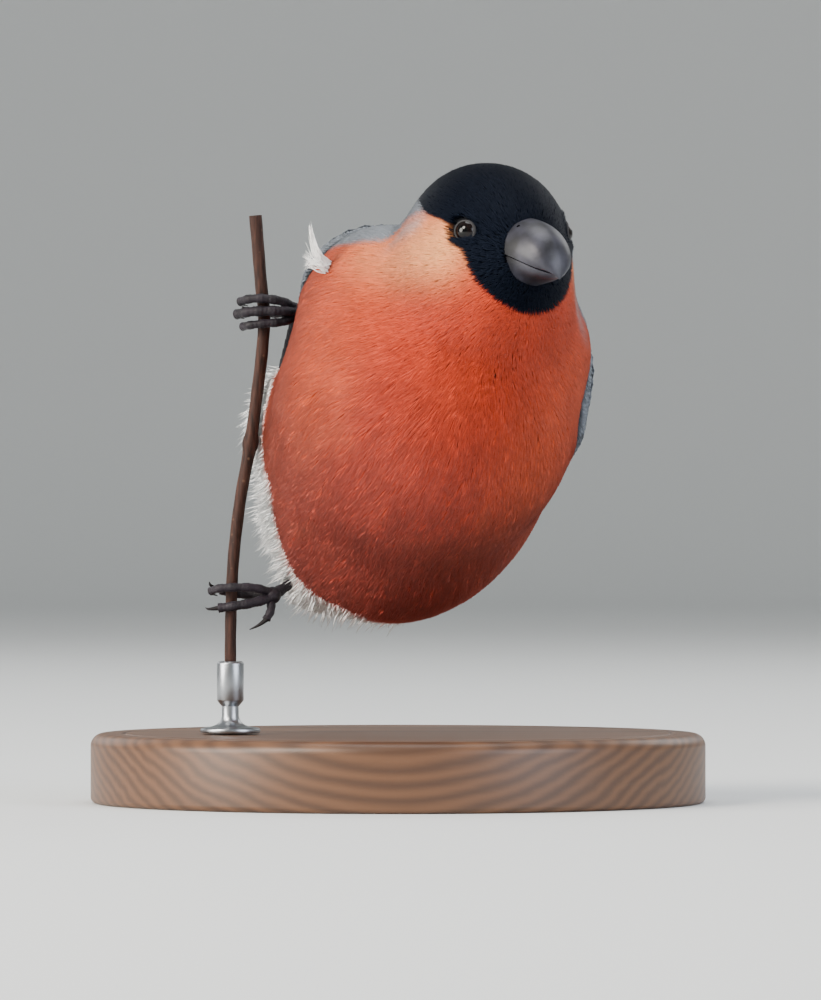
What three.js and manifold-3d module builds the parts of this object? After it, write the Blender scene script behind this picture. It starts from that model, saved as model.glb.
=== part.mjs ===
// A male bullfinch, life size. It clings with both feet to a short cut stem, and a plain round stand
// holds the stem. Millimetres. X runs to the viewer's right, Y away from the viewer and Z up. The
// origin is the centre of the stand's underside. A bird frame has +X towards the bill, +Y to the
// bird's left and +Z towards its back.

import * as THREE from "three";
import { mergeVertices } from "three/addons/utils/BufferGeometryUtils.js";
import Module from "manifold-3d";

const wasm = await Module();
wasm.setup();

// Clearance between neighbouring pieces
const GAP = 0.3;

// Stand
const BASE_RADIUS = 62;
const BASE_HEIGHT = 14;
const BASE_ROUNDING = 2.5;
const BASE_SEGMENTS = 48;
const ROD_RADIUS = 1.7;
const CUP_RADIUS = 2.7;
const CUP_HEIGHT = 9;
const CUP_DEPTH = 6;
const FOOT_FLANGE_RADIUS = 6;
const FOOT_FLANGE_HEIGHT = 1.2;

// Where along a vane its tip starts to round
const VANE_TIP = 0.76;

// Stance: centres, and turns in degrees as yaw from facing the viewer, pitch of the bill and lift of
// the right side
const TORSO_CENTRE = [6, -14, 78];
const TORSO_TURN = { yaw: 13.5, pitch: 22, roll: 29 };
const HEAD_FROM_TORSO = [13.6, -25, 34.6];
const HEAD_TURN = { yaw: 32, pitch: -4, roll: 0 };

// The stem, from its cut top to the cup that holds it: right of and above the torso's centre, and
// towards the viewer
const STEM_RADIUS = 1.2;
const STEM_LINE = [
  [-34.6, 3, 40],
  [-33.4, 3, 26],
  [-32.8, 3, 20],
  [-33.2, 3, 13],
  [-34.4, 3, 3],
  [-35.6, 3, -6],
  [-37.6, 3, -17],
  [-39.0, 3, -29],
  [-39.4, 3, -37],
  [-39.6, 3, -45],
  [-39.6, 3, -55],
];
const BUD_HEIGHT = -5.5;

// Grip heights on the stem, above the torso's centre
const UPPER_GRIP = 20.2;
const LOWER_GRIP = -35.6;

const DEG = Math.PI / 180;
const vec = (p) => new THREE.Vector3(...p);
const mix = (a, b, t) => a + (b - a) * t;
const smooth = (t) => t * t * (3 - 2 * t);

// Frames

function birdFrame(centre, { yaw, pitch, roll }) {
  const turn = new THREE.Euler(-roll * DEG, -pitch * DEG, (yaw - 90) * DEG, "ZYX");
  return new THREE.Matrix4().makeRotationFromEuler(turn).setPosition(...centre);
}

const HEAD_CENTRE = TORSO_CENTRE.map((c, i) => c + HEAD_FROM_TORSO[i]);
const TORSO = birdFrame(TORSO_CENTRE, TORSO_TURN);
const HEAD = birdFrame(HEAD_CENTRE, HEAD_TURN);

// The tail is lifted a little and swung to the bird's right, towards the stem.
const TAIL_ROOT = [-36, -1, 4];
const TAIL_LIFT = 10;
const TAIL_SWING = 9.5;
const TAIL = TORSO.clone().multiply(
  new THREE.Matrix4()
    .makeRotationFromEuler(new THREE.Euler(0, TAIL_LIFT * DEG, TAIL_SWING * DEG, "ZYX"))
    .setPosition(...TAIL_ROOT),
);

// Solids

function solidOf(geometry) {
  const bare = geometry.clone();
  for (const name of ["normal", "uv"]) bare.deleteAttribute(name);
  const merged = mergeVertices(bare, 1e-4);
  const vertProperties = merged.attributes.position.array;
  const triVerts = new Uint32Array(merged.index.array);
  const made = new wasm.Manifold(new wasm.Mesh({ numProp: 3, vertProperties, triVerts }));
  if (made.volume() > 0) return made;
  for (let i = 0; i < triVerts.length; i += 3) triVerts.subarray(i, i + 2).reverse();
  return new wasm.Manifold(new wasm.Mesh({ numProp: 3, vertProperties, triVerts }));
}

function geometryOf(solid) {
  const { vertProperties, triVerts } = solid.getMesh();
  return new THREE.BufferGeometry()
    .setAttribute("position", new THREE.BufferAttribute(new Float32Array(vertProperties), 3))
    .setIndex(new THREE.BufferAttribute(new Uint32Array(triVerts), 1));
}

const joined = (solids) => solids.reduce((all, one) => all.add(one));
const cutBy = (solid, cutters) => cutters.reduce((left, cutter) => left.subtract(cutter), solid);

// The largest closed surface of a solid, which drops scraps that a cut leaves loose.
function largest(solid) {
  return solid.decompose().reduce((best, one) => (one.volume() > best.volume() ? one : best));
}

// A half space as a large block: all that lies beyond `distance` along `normal` from `point`.
function halfSpace(point, normal, distance) {
  const size = 400;
  const block = new THREE.BoxGeometry(size, size, size).translate(0, 0, size / 2 + distance);
  const turn = new THREE.Quaternion().setFromUnitVectors(new THREE.Vector3(0, 0, 1), normal);
  block.applyQuaternion(turn).translate(point.x, point.y, point.z);
  return solidOf(block);
}

// A closed body through rings of equally many points. The second half of each ring is split the
// other way, so that both faces of a thin vane have triangles alike.
function loft(rings) {
  const count = rings[0].length;
  const points = rings.flat();
  const index = [];
  for (let r = 0; r + 1 < rings.length; r++)
    for (let k = 0; k < count; k++) {
      const a = r * count + k;
      const b = r * count + ((k + 1) % count);
      const [c, d] = [a + count, b + count];
      if (k < count / 2) index.push(a, b, d, a, d, c);
      else index.push(a, b, c, b, d, c);
    }
  for (const [ring, turned] of [[0, true], [rings.length - 1, false]]) {
    const centre = points.length;
    points.push(rings[ring].reduce((sum, p) => sum.add(p), new THREE.Vector3()).divideScalar(count));
    for (let k = 0; k < count; k++) {
      const a = ring * count + k;
      const b = ring * count + ((k + 1) % count);
      index.push(...(turned ? [b, a, centre] : [a, b, centre]));
    }
  }
  return new THREE.BufferGeometry().setFromPoints(points).setIndex(index);
}

// A round tube along points. `radius` gives its radius from 0 at the start to 1 at the end.
function tube(points, radius, steps, sides) {
  const curve = new THREE.CatmullRomCurve3(points, false, "centripetal");
  const frames = curve.computeFrenetFrames(steps, false);
  const rings = [];
  for (let i = 0; i <= steps; i++) {
    const centre = curve.getPointAt(i / steps);
    const r = radius(i / steps);
    const ring = [];
    for (let k = 0; k < sides; k++) {
      const a = (2 * Math.PI * k) / sides;
      ring.push(
        centre
          .clone()
          .addScaledVector(frames.normals[i], r * Math.cos(a))
          .addScaledVector(frames.binormals[i], r * Math.sin(a)),
      );
    }
    rings.push(ring);
  }
  return loft(rings);
}

// Soft bodies, made of ellipsoids that flow into each other

function softMin(a, b, blend) {
  const h = Math.max(blend - Math.abs(a - b), 0) / blend;
  return Math.min(a, b) - (h * h * blend) / 4;
}

// The distance to one ellipsoid, close enough near its surface.
function ellipsoidDistance({ inverse, radii }, point) {
  const p = point.clone().applyMatrix4(inverse);
  const k0 = p.clone().divide(radii).length();
  const k1 = p.clone().divide(radii).divide(radii).length();
  return k1 > 0 ? (k0 * (k0 - 1)) / k1 : -Math.min(...radii);
}

function softBody(blobs, blend) {
  const shapes = blobs.map(({ frame, at, radii, tilt = 0 }) => ({
    inverse: frame
      .clone()
      .multiply(new THREE.Matrix4().makeRotationY(-tilt * DEG).setPosition(...at))
      .invert(),
    radii: vec(radii),
  }));
  return (point) =>
    shapes.map((s) => ellipsoidDistance(s, point)).reduce((a, b) => softMin(a, b, blend));
}

// How far a body's surface lies from a point inside it, along a direction.
function surfaceDistance(body, centre, direction, offset = 0) {
  const at = (t) => body(centre.clone().addScaledVector(direction, t)) - offset;
  const step = 2;
  let far = 70;
  while (far > step && at(far - step) > 0) far -= step;
  let near = far - step;
  for (let i = 0; i < 18; i++) {
    const middle = (near + far) / 2;
    if (at(middle) > 0) far = middle;
    else near = middle;
  }
  return near;
}

// The surface of a body that can all be seen from one point inside it.
function skinOf(body, centre, detail, offset = 0) {
  const ball = mergeVertices(
    new THREE.IcosahedronGeometry(1, detail).deleteAttribute("normal").deleteAttribute("uv"),
    1e-4,
  );
  const position = ball.attributes.position;
  for (let i = 0; i < position.count; i++) {
    const direction = new THREE.Vector3().fromBufferAttribute(position, i).normalize();
    const p = centre.clone().addScaledVector(direction, surfaceDistance(body, centre, direction, offset));
    position.setXYZ(i, p.x, p.y, p.z);
  }
  return ball;
}

// The body's form: ellipsoids in the torso's and the head's frames

const TRUNK_BLOBS = [
  { frame: TORSO, at: [-3, -0.7, -4], radii: [35, 29, 33] },
  { frame: TORSO, at: [13, -1, -5], radii: [25, 29.5, 30] },
  { frame: TORSO, at: [-13, 2.5, -9], radii: [25, 25, 30] },
  { frame: TORSO, at: [8, -1.5, 12], radii: [26, 21.5, 20] },
  { frame: TORSO, at: [-30, 0, 2], radii: [22, 14, 12], tilt: 6 },
];
// Breast feathers bulge over the front of each folded wing, more on the right, where the leg reaches up.
const SHOULDER_BLOBS = [
  { frame: TORSO, at: [15, -17, 9.5], radii: [17, 16.5, 16.5] },
  { frame: TORSO, at: [19, 10, 13], radii: [14, 13.5, 14] },
];
const VENT_BLOB = { frame: TORSO, at: [-27, -7, -15], radii: [16, 15, 15] };
const NECK_BLOB = { frame: TORSO, at: [31, -2, 14], radii: [17, 17, 17] };
const HEAD_BLOBS = [
  { frame: HEAD, at: [-0.5, 0.3, -0.2], radii: [12.4, 13, 12.2] },
  { frame: HEAD, at: [-5, -0.3, 1.6], radii: [12.3, 13.7, 12.2] },
  { frame: HEAD, at: [3, 0, -3], radii: [7, 8, 8.6] },
  { frame: HEAD, at: [-5, 0, -7], radii: [14, 15, 13] },
  { frame: HEAD, at: [-1, -1, -13], radii: [11.5, 13, 10] },
];
const TAIL_COVERT_BLOB = { frame: TAIL, at: [-6, 0, 0], radii: [22, 9, 6.5] };
const BODY_BLOBS = [
  ...TRUNK_BLOBS,
  ...SHOULDER_BLOBS,
  VENT_BLOB,
  NECK_BLOB,
  ...HEAD_BLOBS,
  TAIL_COVERT_BLOB,
];
const BODY_BLEND = 7;

const bodyField = softBody(BODY_BLOBS, BODY_BLEND);
const torsoPoint = (p) => vec(p).applyMatrix4(TORSO);
const headPoint = (p) => vec(p).applyMatrix4(HEAD);
const tailPoint = (p) => vec(p).applyMatrix4(TAIL);

// Planes that part the body: across the neck below the head and above the torso, and in front of the rump
const NECK_AXIS = headPoint([0, 0, 0]).sub(torsoPoint([0, 0, 0])).normalize();
const HEAD_CUT = -9.5;
const TORSO_CUT = -17;
const RUMP_CUT_X = -25;
const REARWARD = new THREE.Vector3(-1, 0, 0).transformDirection(TORSO);

const beyondNeck = (distance) => halfSpace(headPoint([0, 0, 0]), NECK_AXIS, distance);
const behindRumpCut = (distance) => halfSpace(torsoPoint([RUMP_CUT_X, 0, 0]), REARWARD, distance);

const TORSO_EYE = [-2, 0, -2];
const RUMP_EYE = [-31, -1, 0];
const torsoWhole = solidOf(skinOf(bodyField, torsoPoint(TORSO_EYE), 8));
const rumpWhole = solidOf(skinOf(bodyField, torsoPoint(RUMP_EYE), 6));
const bodyGrown = joined([
  solidOf(skinOf(bodyField, torsoPoint(TORSO_EYE), 8, GAP)).subtract(behindRumpCut(0)),
  solidOf(skinOf(bodyField, torsoPoint(RUMP_EYE), 6, GAP)).intersect(behindRumpCut(-0.2)),
]);

// The neck, as rings across its axis between the two cuts
const NECK_RINGS = 4;
const NECK_SIDES = 36;

function neckRing(distance) {
  const centre = headPoint([0, 0, 0]).addScaledVector(NECK_AXIS, distance);
  const across = new THREE.Vector3(0, 0, 1).cross(NECK_AXIS).normalize();
  const along = NECK_AXIS.clone().cross(across);
  return Array.from({ length: NECK_SIDES }, (_, k) => {
    const a = (2 * Math.PI * k) / NECK_SIDES;
    const out = across.clone().multiplyScalar(Math.cos(a)).addScaledVector(along, Math.sin(a));
    return centre.clone().addScaledVector(out, surfaceDistance(bodyField, centre, out));
  });
}

function neck() {
  const [low, high] = [TORSO_CUT + GAP / 2, HEAD_CUT - GAP / 2];
  return loft(Array.from({ length: NECK_RINGS }, (_, i) => neckRing(mix(low, high, i / (NECK_RINGS - 1)))));
}

// Eyes: balls sunk in sockets with a ring of lids round them

const EYE_RADIUS = 2.6;
const EYE_OUT = 1.9;
const EYE_AZIMUTH = 60;
const EYE_HEIGHT = 6;
const LID_RADIUS = 2.35;
const LID_THICKNESS = 0.45;

function eyePlace(side) {
  const out = new THREE.Vector3(
    Math.cos(EYE_HEIGHT * DEG) * Math.cos(EYE_AZIMUTH * DEG),
    side * Math.cos(EYE_HEIGHT * DEG) * Math.sin(EYE_AZIMUTH * DEG),
    Math.sin(EYE_HEIGHT * DEG),
  ).transformDirection(HEAD);
  const rim = surfaceDistance(bodyField, headPoint([0, 0, 0]), out);
  return { out, centre: headPoint([0, 0, 0]).addScaledVector(out, rim - EYE_OUT) };
}

function eyeBall(side, radius) {
  const { centre, out } = eyePlace(side);
  const turn = new THREE.Quaternion().setFromUnitVectors(new THREE.Vector3(0, 1, 0), out);
  return new THREE.SphereGeometry(radius, 14, 8)
    .applyQuaternion(turn)
    .translate(centre.x, centre.y, centre.z);
}

function lidRing(side) {
  const { centre, out } = eyePlace(side);
  const turn = new THREE.Quaternion().setFromUnitVectors(new THREE.Vector3(0, 0, 1), out);
  const place = centre.clone().addScaledVector(out, EYE_OUT);
  return new THREE.TorusGeometry(LID_RADIUS, LID_THICKNESS, 5, 16)
    .applyQuaternion(turn)
    .translate(place.x, place.y, place.z);
}

// Bill: two mandibles, each a loft of arches between its cutting edge and its ridge, in the head's frame

const BILL = {
  root: 8.5,
  culmenFoot: 9.6,
  culmenHeight: 4.3,
  tip: 23.0,
  tipHeight: -7.2,
  gapeHeight: -2.3,
  edgeTip: 22.2,
  edgeTipHeight: -5.9,
  halfWidth: 6.3,
  chinHeight: -9.2,
  stations: 9,
  archPoints: 9,
};

const billEdge = (u, drop) => [
  mix(BILL.root, BILL.edgeTip, u),
  mix(BILL.gapeHeight, BILL.edgeTipHeight, u ** 1.7) - drop,
];
const billHalfWidth = (u) => BILL.halfWidth * Math.sqrt(Math.max(1 - u ** 2.7, 0.004));

function mandible(ridge, drop, narrowing) {
  const rings = [];
  for (let i = 0; i < BILL.stations; i++) {
    const u = 1 - (1 - i / (BILL.stations - 1)) ** 1.35;
    const [edgeX, edgeZ] = billEdge(u, drop);
    const [ridgeX, ridgeZ] = ridge(u);
    const width = billHalfWidth(u) * narrowing;
    const ring = [];
    for (let k = 0; k < BILL.archPoints; k++) {
      const a = (Math.PI * k) / (BILL.archPoints - 1);
      const lift = Math.sin(a) ** 0.85;
      ring.push(headPoint([mix(edgeX, ridgeX, lift), width * Math.cos(a), mix(edgeZ, ridgeZ, lift)]));
    }
    rings.push(ring);
  }
  return loft(rings);
}

function culmen(u) {
  const a = mix(4, 90, u) * DEG;
  return [
    BILL.culmenFoot + (BILL.tip - BILL.culmenFoot) * Math.sin(a) ** 0.88,
    BILL.tipHeight + (BILL.culmenHeight - BILL.tipHeight) * Math.cos(a) ** 0.8,
  ];
}

function gonys(u) {
  return [
    mix(BILL.root, BILL.edgeTip - 1.2, u),
    mix(BILL.chinHeight, BILL.edgeTipHeight - 1.1, 1 - Math.cos((u * Math.PI) / 2)),
  ];
}

const NOSTRIL = { x: 13.2, y: 3.4, z: 2.3, radius: 0.75 };

function nostril(side) {
  const place = headPoint([NOSTRIL.x, side * NOSTRIL.y, NOSTRIL.z]);
  return solidOf(new THREE.IcosahedronGeometry(NOSTRIL.radius, 1).translate(place.x, place.y, place.z));
}

// Vanes: flat feathers with a rounded tip

// `place` puts a point that lies t along the vane, from 0 at its root to 1 at its tip, and so far
// across it and out of it. Vanes that overlap reach `depth` down into each other, so that only their
// upper faces and edges show.
function vane({ steps, width, depth, place }) {
  const rings = [];
  for (let i = 0; i <= steps; i++) {
    const t = 1 - (1 - i / steps) ** 1.3;
    const round = Math.sqrt(1 - Math.min(Math.max((t - VANE_TIP) / (1 - VANE_TIP), 0), 0.97) ** 2);
    const half = (width / 2) * mix(0.7, 1, smooth(Math.min(t * 3, 1))) * round;
    const ring = [[-half, 0], [half, 0], [half, -depth], [-half, -depth]];
    rings.push(ring.map(([across, out]) => place(t, across, out)));
  }
  return solidOf(loft(rings));
}

// Wings, folded on the torso. A place on a wing is a distance x along the torso, an angle from the
// side up towards the back, and a height over the wing's bed.

const WING_TIP_BLOB = { frame: TORSO, at: [-34, 0, 8], radii: [34, 9, 8] };
const wingBed = softBody([...BODY_BLOBS, WING_TIP_BLOB], BODY_BLEND);
const bedAxisHeight = (x) => mix(0, 9, smooth(THREE.MathUtils.clamp(-x / 50, 0, 1)));

function wingRay(side, x, angle) {
  const a = (angle + (side > 0 ? WING_LIFT.left : WING_LIFT.right)) * DEG;
  const axis = torsoPoint([x, 0, bedAxisHeight(x)]);
  const out = new THREE.Vector3(0, side * Math.cos(a), Math.sin(a)).transformDirection(TORSO);
  return { axis, out, radius: surfaceDistance(wingBed, axis, out) };
}

function wingPoint(side, x, angle, height) {
  const { axis, out, radius } = wingRay(side, x, angle);
  return axis.addScaledVector(out, radius + height);
}

// Nine lines run back along the wing and draw together at its tip. Each bears a greater covert over
// a flight feather: primaries from the lowest up, then secondaries and tertials. These are the x of
// their tips.
const FLIGHT_TIPS = [-60, -57.5, -54, -50, -46, -42, -39, -33, -24];
const COVERT_TIPS = [-13, -14.5, -16, -17, -17.5, -18, -18, -17, -15];
const WING_LINES = { front: [12, 61], back: [37, 70], from: 8, to: -60 };
const FLIGHT = { root: -9, width: 5.4, height: 1.6, depth: 1.3, steps: 6 };
const COVERT = { root: 6, width: 5.6, height: 0.8, sink: 1.3, depth: 1.3, steps: 3 };
const WING_LEAN = 0.2;
// Towards the wing tip each feather lies a little farther out than the one below it.
const WING_STACK = { step: 0.32, from: -16, to: -46 };
// The smooth small coverts in front of the lines, and the web of skin that runs back under the vanes
const WING_PAD = {
  front: 15,
  shoulder: -4,
  back: -24,
  low: 11,
  high: 61,
  height: 1.3,
  steps: 6,
  across: 5,
};
// The raised right leg lifts the lower edge of the wing above it.
const WING_LIFT = { left: 0, right: 5 };

const ramp = (x, from, to) => smooth(THREE.MathUtils.clamp((x - from) / (to - from), 0, 1));

function lineAngle(line, x) {
  const s = line / (FLIGHT_TIPS.length - 1);
  const { front, back, from, to } = WING_LINES;
  return mix(mix(...front, s), mix(...back, s), ramp(x, from, to));
}

// A vane on a line leans so that its lower edge lies over the next one down.
function lineVane(side, line, { root, tip, width, depth, steps, height }) {
  const place = (t, across, out) => {
    const x = mix(root, tip, t);
    const angle = lineAngle(line, x);
    const shift = across / wingRay(side, x, angle).radius / DEG;
    return wingPoint(side, x, angle + shift, height(t, x) - across * WING_LEAN + out);
  };
  return vane({ steps, width, depth, place });
}

function stackHeight(line, x) {
  const { step, from, to } = WING_STACK;
  return FLIGHT.height + line * step * ramp(x, from, to);
}

function wing(side) {
  const flights = FLIGHT_TIPS.map((tip, line) =>
    lineVane(side, line, { ...FLIGHT, tip, height: (t, x) => stackHeight(line, x) }),
  );
  const coverts = COVERT_TIPS.map((tip, line) => {
    const height = (t, x) => stackHeight(line, x) + COVERT.height - COVERT.sink * (1 - t) ** 3;
    return lineVane(side, line, { ...COVERT, tip, height });
  });
  return joined([wingPad(side), ...flights, ...coverts]);
}

function wingPad(side) {
  const { front, shoulder, back, low, high, height, steps, across } = WING_PAD;
  const rings = [];
  for (let i = 0; i <= steps; i++) {
    const x = mix(front, back, (i / steps) ** 1.2);
    const narrow = Math.sqrt(1 - (1 - Math.min((front + 1 - x) / (front + 1 - 4), 1)) ** 2);
    const last = FLIGHT_TIPS.length - 1;
    const [lowest, highest] = x > WING_LINES.from ? [low, high] : [lineAngle(0, x), lineAngle(last, x)];
    const top = [];
    const bottom = [];
    for (let k = 0; k <= across; k++) {
      const s = k / across;
      const angle = mix((lowest + highest) / 2, mix(lowest, highest, s), narrow);
      const dome = Math.sin(Math.PI * mix(0.15, 0.85, s)) * narrow * ramp(x, shoulder, 4);
      top.push(wingPoint(side, x, angle, 1 + height * dome));
      bottom.unshift(wingPoint(side, x, angle, -0.4));
    }
    rings.push([...top, ...bottom]);
  }
  return solidOf(loft(rings));
}

// Tail: six pairs of feathers, the middle pair on top, and a shallow notch at the end

const TAIL_FEATHERS = {
  pairs: 6,
  length: 62,
  notch: 4,
  width: 8,
  middle: 2.4,
  spread: 0.8,
  fan: 0.9,
  layer: 0.5,
  depth: 0.8,
  steps: 4,
};

function tailVane(side, i) {
  const { length, notch, width, middle, spread, fan, layer, depth, steps } = TAIL_FEATHERS;
  const reach = length - notch * Math.cos((Math.PI / 2) * (i / 5)) - 1.5 * Math.max(i - 4, 0);
  const place = (t, across, out) => {
    const y = side * (middle * mix(0.4, 1, t) + i * spread * mix(0.35, 1, t) + i * fan * t) + across;
    const curve = 0.02 * Math.abs(y) ** 1.3;
    return tailPoint([-reach * t, y, -layer * (i + (side > 0 ? 0 : 0.5)) + out - curve]);
  };
  return vane({ steps, width: width - 0.25 * i, depth, place });
}

function tail() {
  const vanes = [];
  for (let i = 0; i < TAIL_FEATHERS.pairs; i++) vanes.push(tailVane(1, i), tailVane(-1, i));
  const core = new THREE.SphereGeometry(1, 12, 6).scale(18, 6.5, 2.6).translate(-9, 0, -1.4);
  return joined([solidOf(core.applyMatrix4(TAIL)), ...vanes]);
}

// Stem and grips

const stemPoint = ([x, y, z]) => vec([x, y, z]).add(vec(TORSO_CENTRE));
const stemCurve = new THREE.CatmullRomCurve3(STEM_LINE.map(stemPoint), false, "centripetal");

function stem(steps, sides, extra = 0) {
  const bud = (t) => {
    const z = stemCurve.getPointAt(t).z - TORSO_CENTRE[2];
    return 0.45 * Math.exp(-(((z - BUD_HEIGHT) / 1.6) ** 2));
  };
  const radius = (t) => mix(STEM_RADIUS * 1.05, STEM_RADIUS * 0.95, t) + bud(t) + extra;
  return tube(STEM_LINE.map(stemPoint), radius, steps, sides);
}

// The stem's own frame at a height: its centre, up along it, right to the palm and front towards the
// viewer.
function gripFrame(height) {
  const z = TORSO_CENTRE[2] + height;
  let [low, high] = [0, 1];
  for (let i = 0; i < 30; i++) {
    const middle = (low + high) / 2;
    if (stemCurve.getPointAt(middle).z > z) low = middle;
    else high = middle;
  }
  const up = stemCurve.getTangentAt(low).negate();
  const right = new THREE.Vector3(1, 0, 0).addScaledVector(up, -up.x).normalize();
  const front = right.clone().cross(up);
  const frame = new THREE.Matrix4().makeBasis(right, front, up);
  return frame.setPosition(stemCurve.getPointAt(low));
}

// Each toe's line as [right, front, up] in the grip's frame, from the palm round the stem, and then
// its claw's.
const UPPER_TOES = [
  {
    radius: 0.85,
    toe: [[6.2, 0.2, 0.9], [3.6, 2.3, 2.2], [0, 2.9, 2.9], [-3, 2.4, 2.9], [-4.7, 0.4, 2.5]],
    claw: [[-4.7, -1.7, 2.1], [-3.3, -3.1, 1.7]],
  },
  {
    radius: 0.95,
    toe: [[6.4, 0.4, 0], [3.8, 2.6, 0.2], [0, 3.1, 0.4], [-3.4, 2.6, 0.3], [-5.5, 0.6, 0]],
    claw: [[-5.6, -1.7, -0.4], [-4.1, -3.2, -0.8]],
  },
  {
    radius: 0.8,
    toe: [[6.2, 0.2, -0.9], [3.6, 2.3, -1.9], [0, 2.85, -2.1], [-2.8, 2.4, -2.3], [-4.4, 0.4, -2.5]],
    claw: [[-4.6, -1.4, -2.7], [-3.4, -2.8, -3.0]],
  },
  {
    radius: 0.9,
    toe: [[6.2, -0.6, 0], [3.4, -2.5, 0], [0, -3.0, 0.2], [-2.4, -2.7, 0.7]],
    claw: [[-4.1, -1.4, 1.3], [-4.2, 0.6, 1.5]],
  },
];
const LOWER_TOES = [
  {
    radius: 0.8,
    toe: [[7.9, 0.2, 0.6], [4.4, 2.3, 1.4], [0, 2.85, 1.3], [-2.6, 2.3, 1.0], [-4.1, 0.4, 0.4]],
    claw: [[-4.2, -1.5, -0.1], [-2.9, -2.9, -0.5]],
  },
  {
    radius: 0.9,
    toe: [[8.0, 0.3, -0.4], [4.8, 2.3, -1.5], [0.6, 2.95, -2.4], [-2.4, 2.4, -2.9]],
    claw: [[-4.4, 1.0, -3.2], [-5.1, -1.0, -3.0]],
  },
  {
    radius: 0.8,
    toe: [[7.9, 0, -0.8], [8.0, 1.4, -3.0], [7.2, 2.2, -4.8]],
    claw: [[5.6, 2.3, -6.1], [3.9, 1.8, -7.0]],
  },
  {
    radius: 0.9,
    toe: [[7.8, -0.6, 0], [4.4, -2.5, 0], [0, -3.0, 0.1], [-2.3, -2.6, 0.7]],
    claw: [[-4.2, -1.3, 1.5], [-4.5, 0.7, 2.2]],
  },
];
const CLAW_SHARE = 0.62;

function digit(frame, { toe, claw, radius }) {
  const place = (points) => points.map((p) => vec(p).applyMatrix4(frame));
  const end = toe[toe.length - 1];
  const pads = (t) => radius * (1 + 0.09 * Math.cos(2 * Math.PI * toe.length * t) - 0.12 * t);
  const flesh = tube(place(toe), pads, 2 * toe.length - 1, 6);
  const horn = tube(place([toe[toe.length - 2].map((c, k) => mix(c, end[k], 0.7)), end, ...claw]), (t) =>
    mix(radius * CLAW_SHARE * 1.25, 0.14, t ** 0.8), 5, 5);
  return [solidOf(flesh), solidOf(horn)];
}

// Legs: a scaled tarsus from the palm to the ankle, and a feathered thigh round the ankle

const PALM_RADIUS = 1.75;
const TARSUS_RADIUS = 1.05;
const SCUTES = 8;
const LEGS = {
  right: { grip: gripFrame(UPPER_GRIP), palm: [6.6, -0.2, 0], ankle: [-13, -28.5, -6], toes: UPPER_TOES },
  left: { grip: gripFrame(LOWER_GRIP), palm: [8.2, -0.2, 0], ankle: [-22, -4, -27], toes: LOWER_TOES },
};
const THIGH_BLOBS = {
  right: { frame: TORSO, at: [-14, -23, -7], radii: [13, 9, 9.5], tilt: 20 },
  left: { frame: TORSO, at: [-22.5, -5, -29], radii: [9, 8, 10] },
};
const STEM_CLEARANCE = 0.6;

function thighSkin(side, detail, offset) {
  const blob = THIGH_BLOBS[side];
  return solidOf(skinOf(softBody([blob], 1), torsoPoint(blob.at), detail, offset));
}

// The radius steps at each scute: wide at its lower rim and narrow where it leaves the next one.
function tarsus({ grip, palm, ankle }, extra = 0) {
  const foot = vec(palm).applyMatrix4(grip);
  const hock = torsoPoint(ankle);
  const bow = foot.clone().lerp(hock, 0.5).add(new THREE.Vector3(0, 0.6, 0));
  const steps = 2 * SCUTES;
  const radius = (t) => {
    const ends = 0.35 * Math.exp(-((t / 0.12) ** 2)) + 0.45 * Math.exp(-(((1 - t) / 0.14) ** 2));
    return TARSUS_RADIUS * (Math.round(t * steps) % 2 ? 1.07 : 0.97) + ends + extra;
  };
  return solidOf(tube([foot, bow, hock], radius, steps, 8));
}

// Stand

function turned(profile, segments) {
  const points = profile.map(([x, y]) => new THREE.Vector2(x, y));
  return new THREE.LatheGeometry(points, segments).rotateX(Math.PI / 2);
}

function standBase() {
  const [r, h, e] = [BASE_RADIUS, BASE_HEIGHT, BASE_ROUNDING];
  const profile = [[0, 0], [r - 1.2, 0], [r, 1.2], [r, h - e]];
  for (let i = 1; i <= 3; i++) {
    const a = (i / 3) * (Math.PI / 2);
    profile.push([r - e + e * Math.cos(a), h - e + e * Math.sin(a)]);
  }
  profile.push([0, h]);
  return turned(profile, BASE_SEGMENTS);
}

const STEM_FOOT = stemPoint(STEM_LINE[STEM_LINE.length - 1]);
const ROD_BOTTOM = BASE_HEIGHT + GAP;

// A turned rod with a flange on the base and a cup that the stem's end stands in.
function standRod() {
  const floor = STEM_FOOT.z - GAP - ROD_BOTTOM;
  const rim = floor + CUP_DEPTH;
  const inner = STEM_RADIUS * 1.15 + GAP;
  const profile = [
    [0, 0],
    [FOOT_FLANGE_RADIUS, 0],
    [FOOT_FLANGE_RADIUS, FOOT_FLANGE_HEIGHT * 0.6],
    [FOOT_FLANGE_RADIUS - 1, FOOT_FLANGE_HEIGHT],
    [ROD_RADIUS + 0.6, FOOT_FLANGE_HEIGHT + 0.4],
    [ROD_RADIUS, FOOT_FLANGE_HEIGHT + 1.2],
    [ROD_RADIUS, rim - CUP_HEIGHT],
    [CUP_RADIUS, rim - CUP_HEIGHT + 1.2],
    [CUP_RADIUS, rim - 0.5],
    [CUP_RADIUS - 0.4, rim],
    [inner, rim],
    [inner, floor],
    [0, floor],
  ];
  return turned(profile, 20);
}

// Assembly

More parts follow.
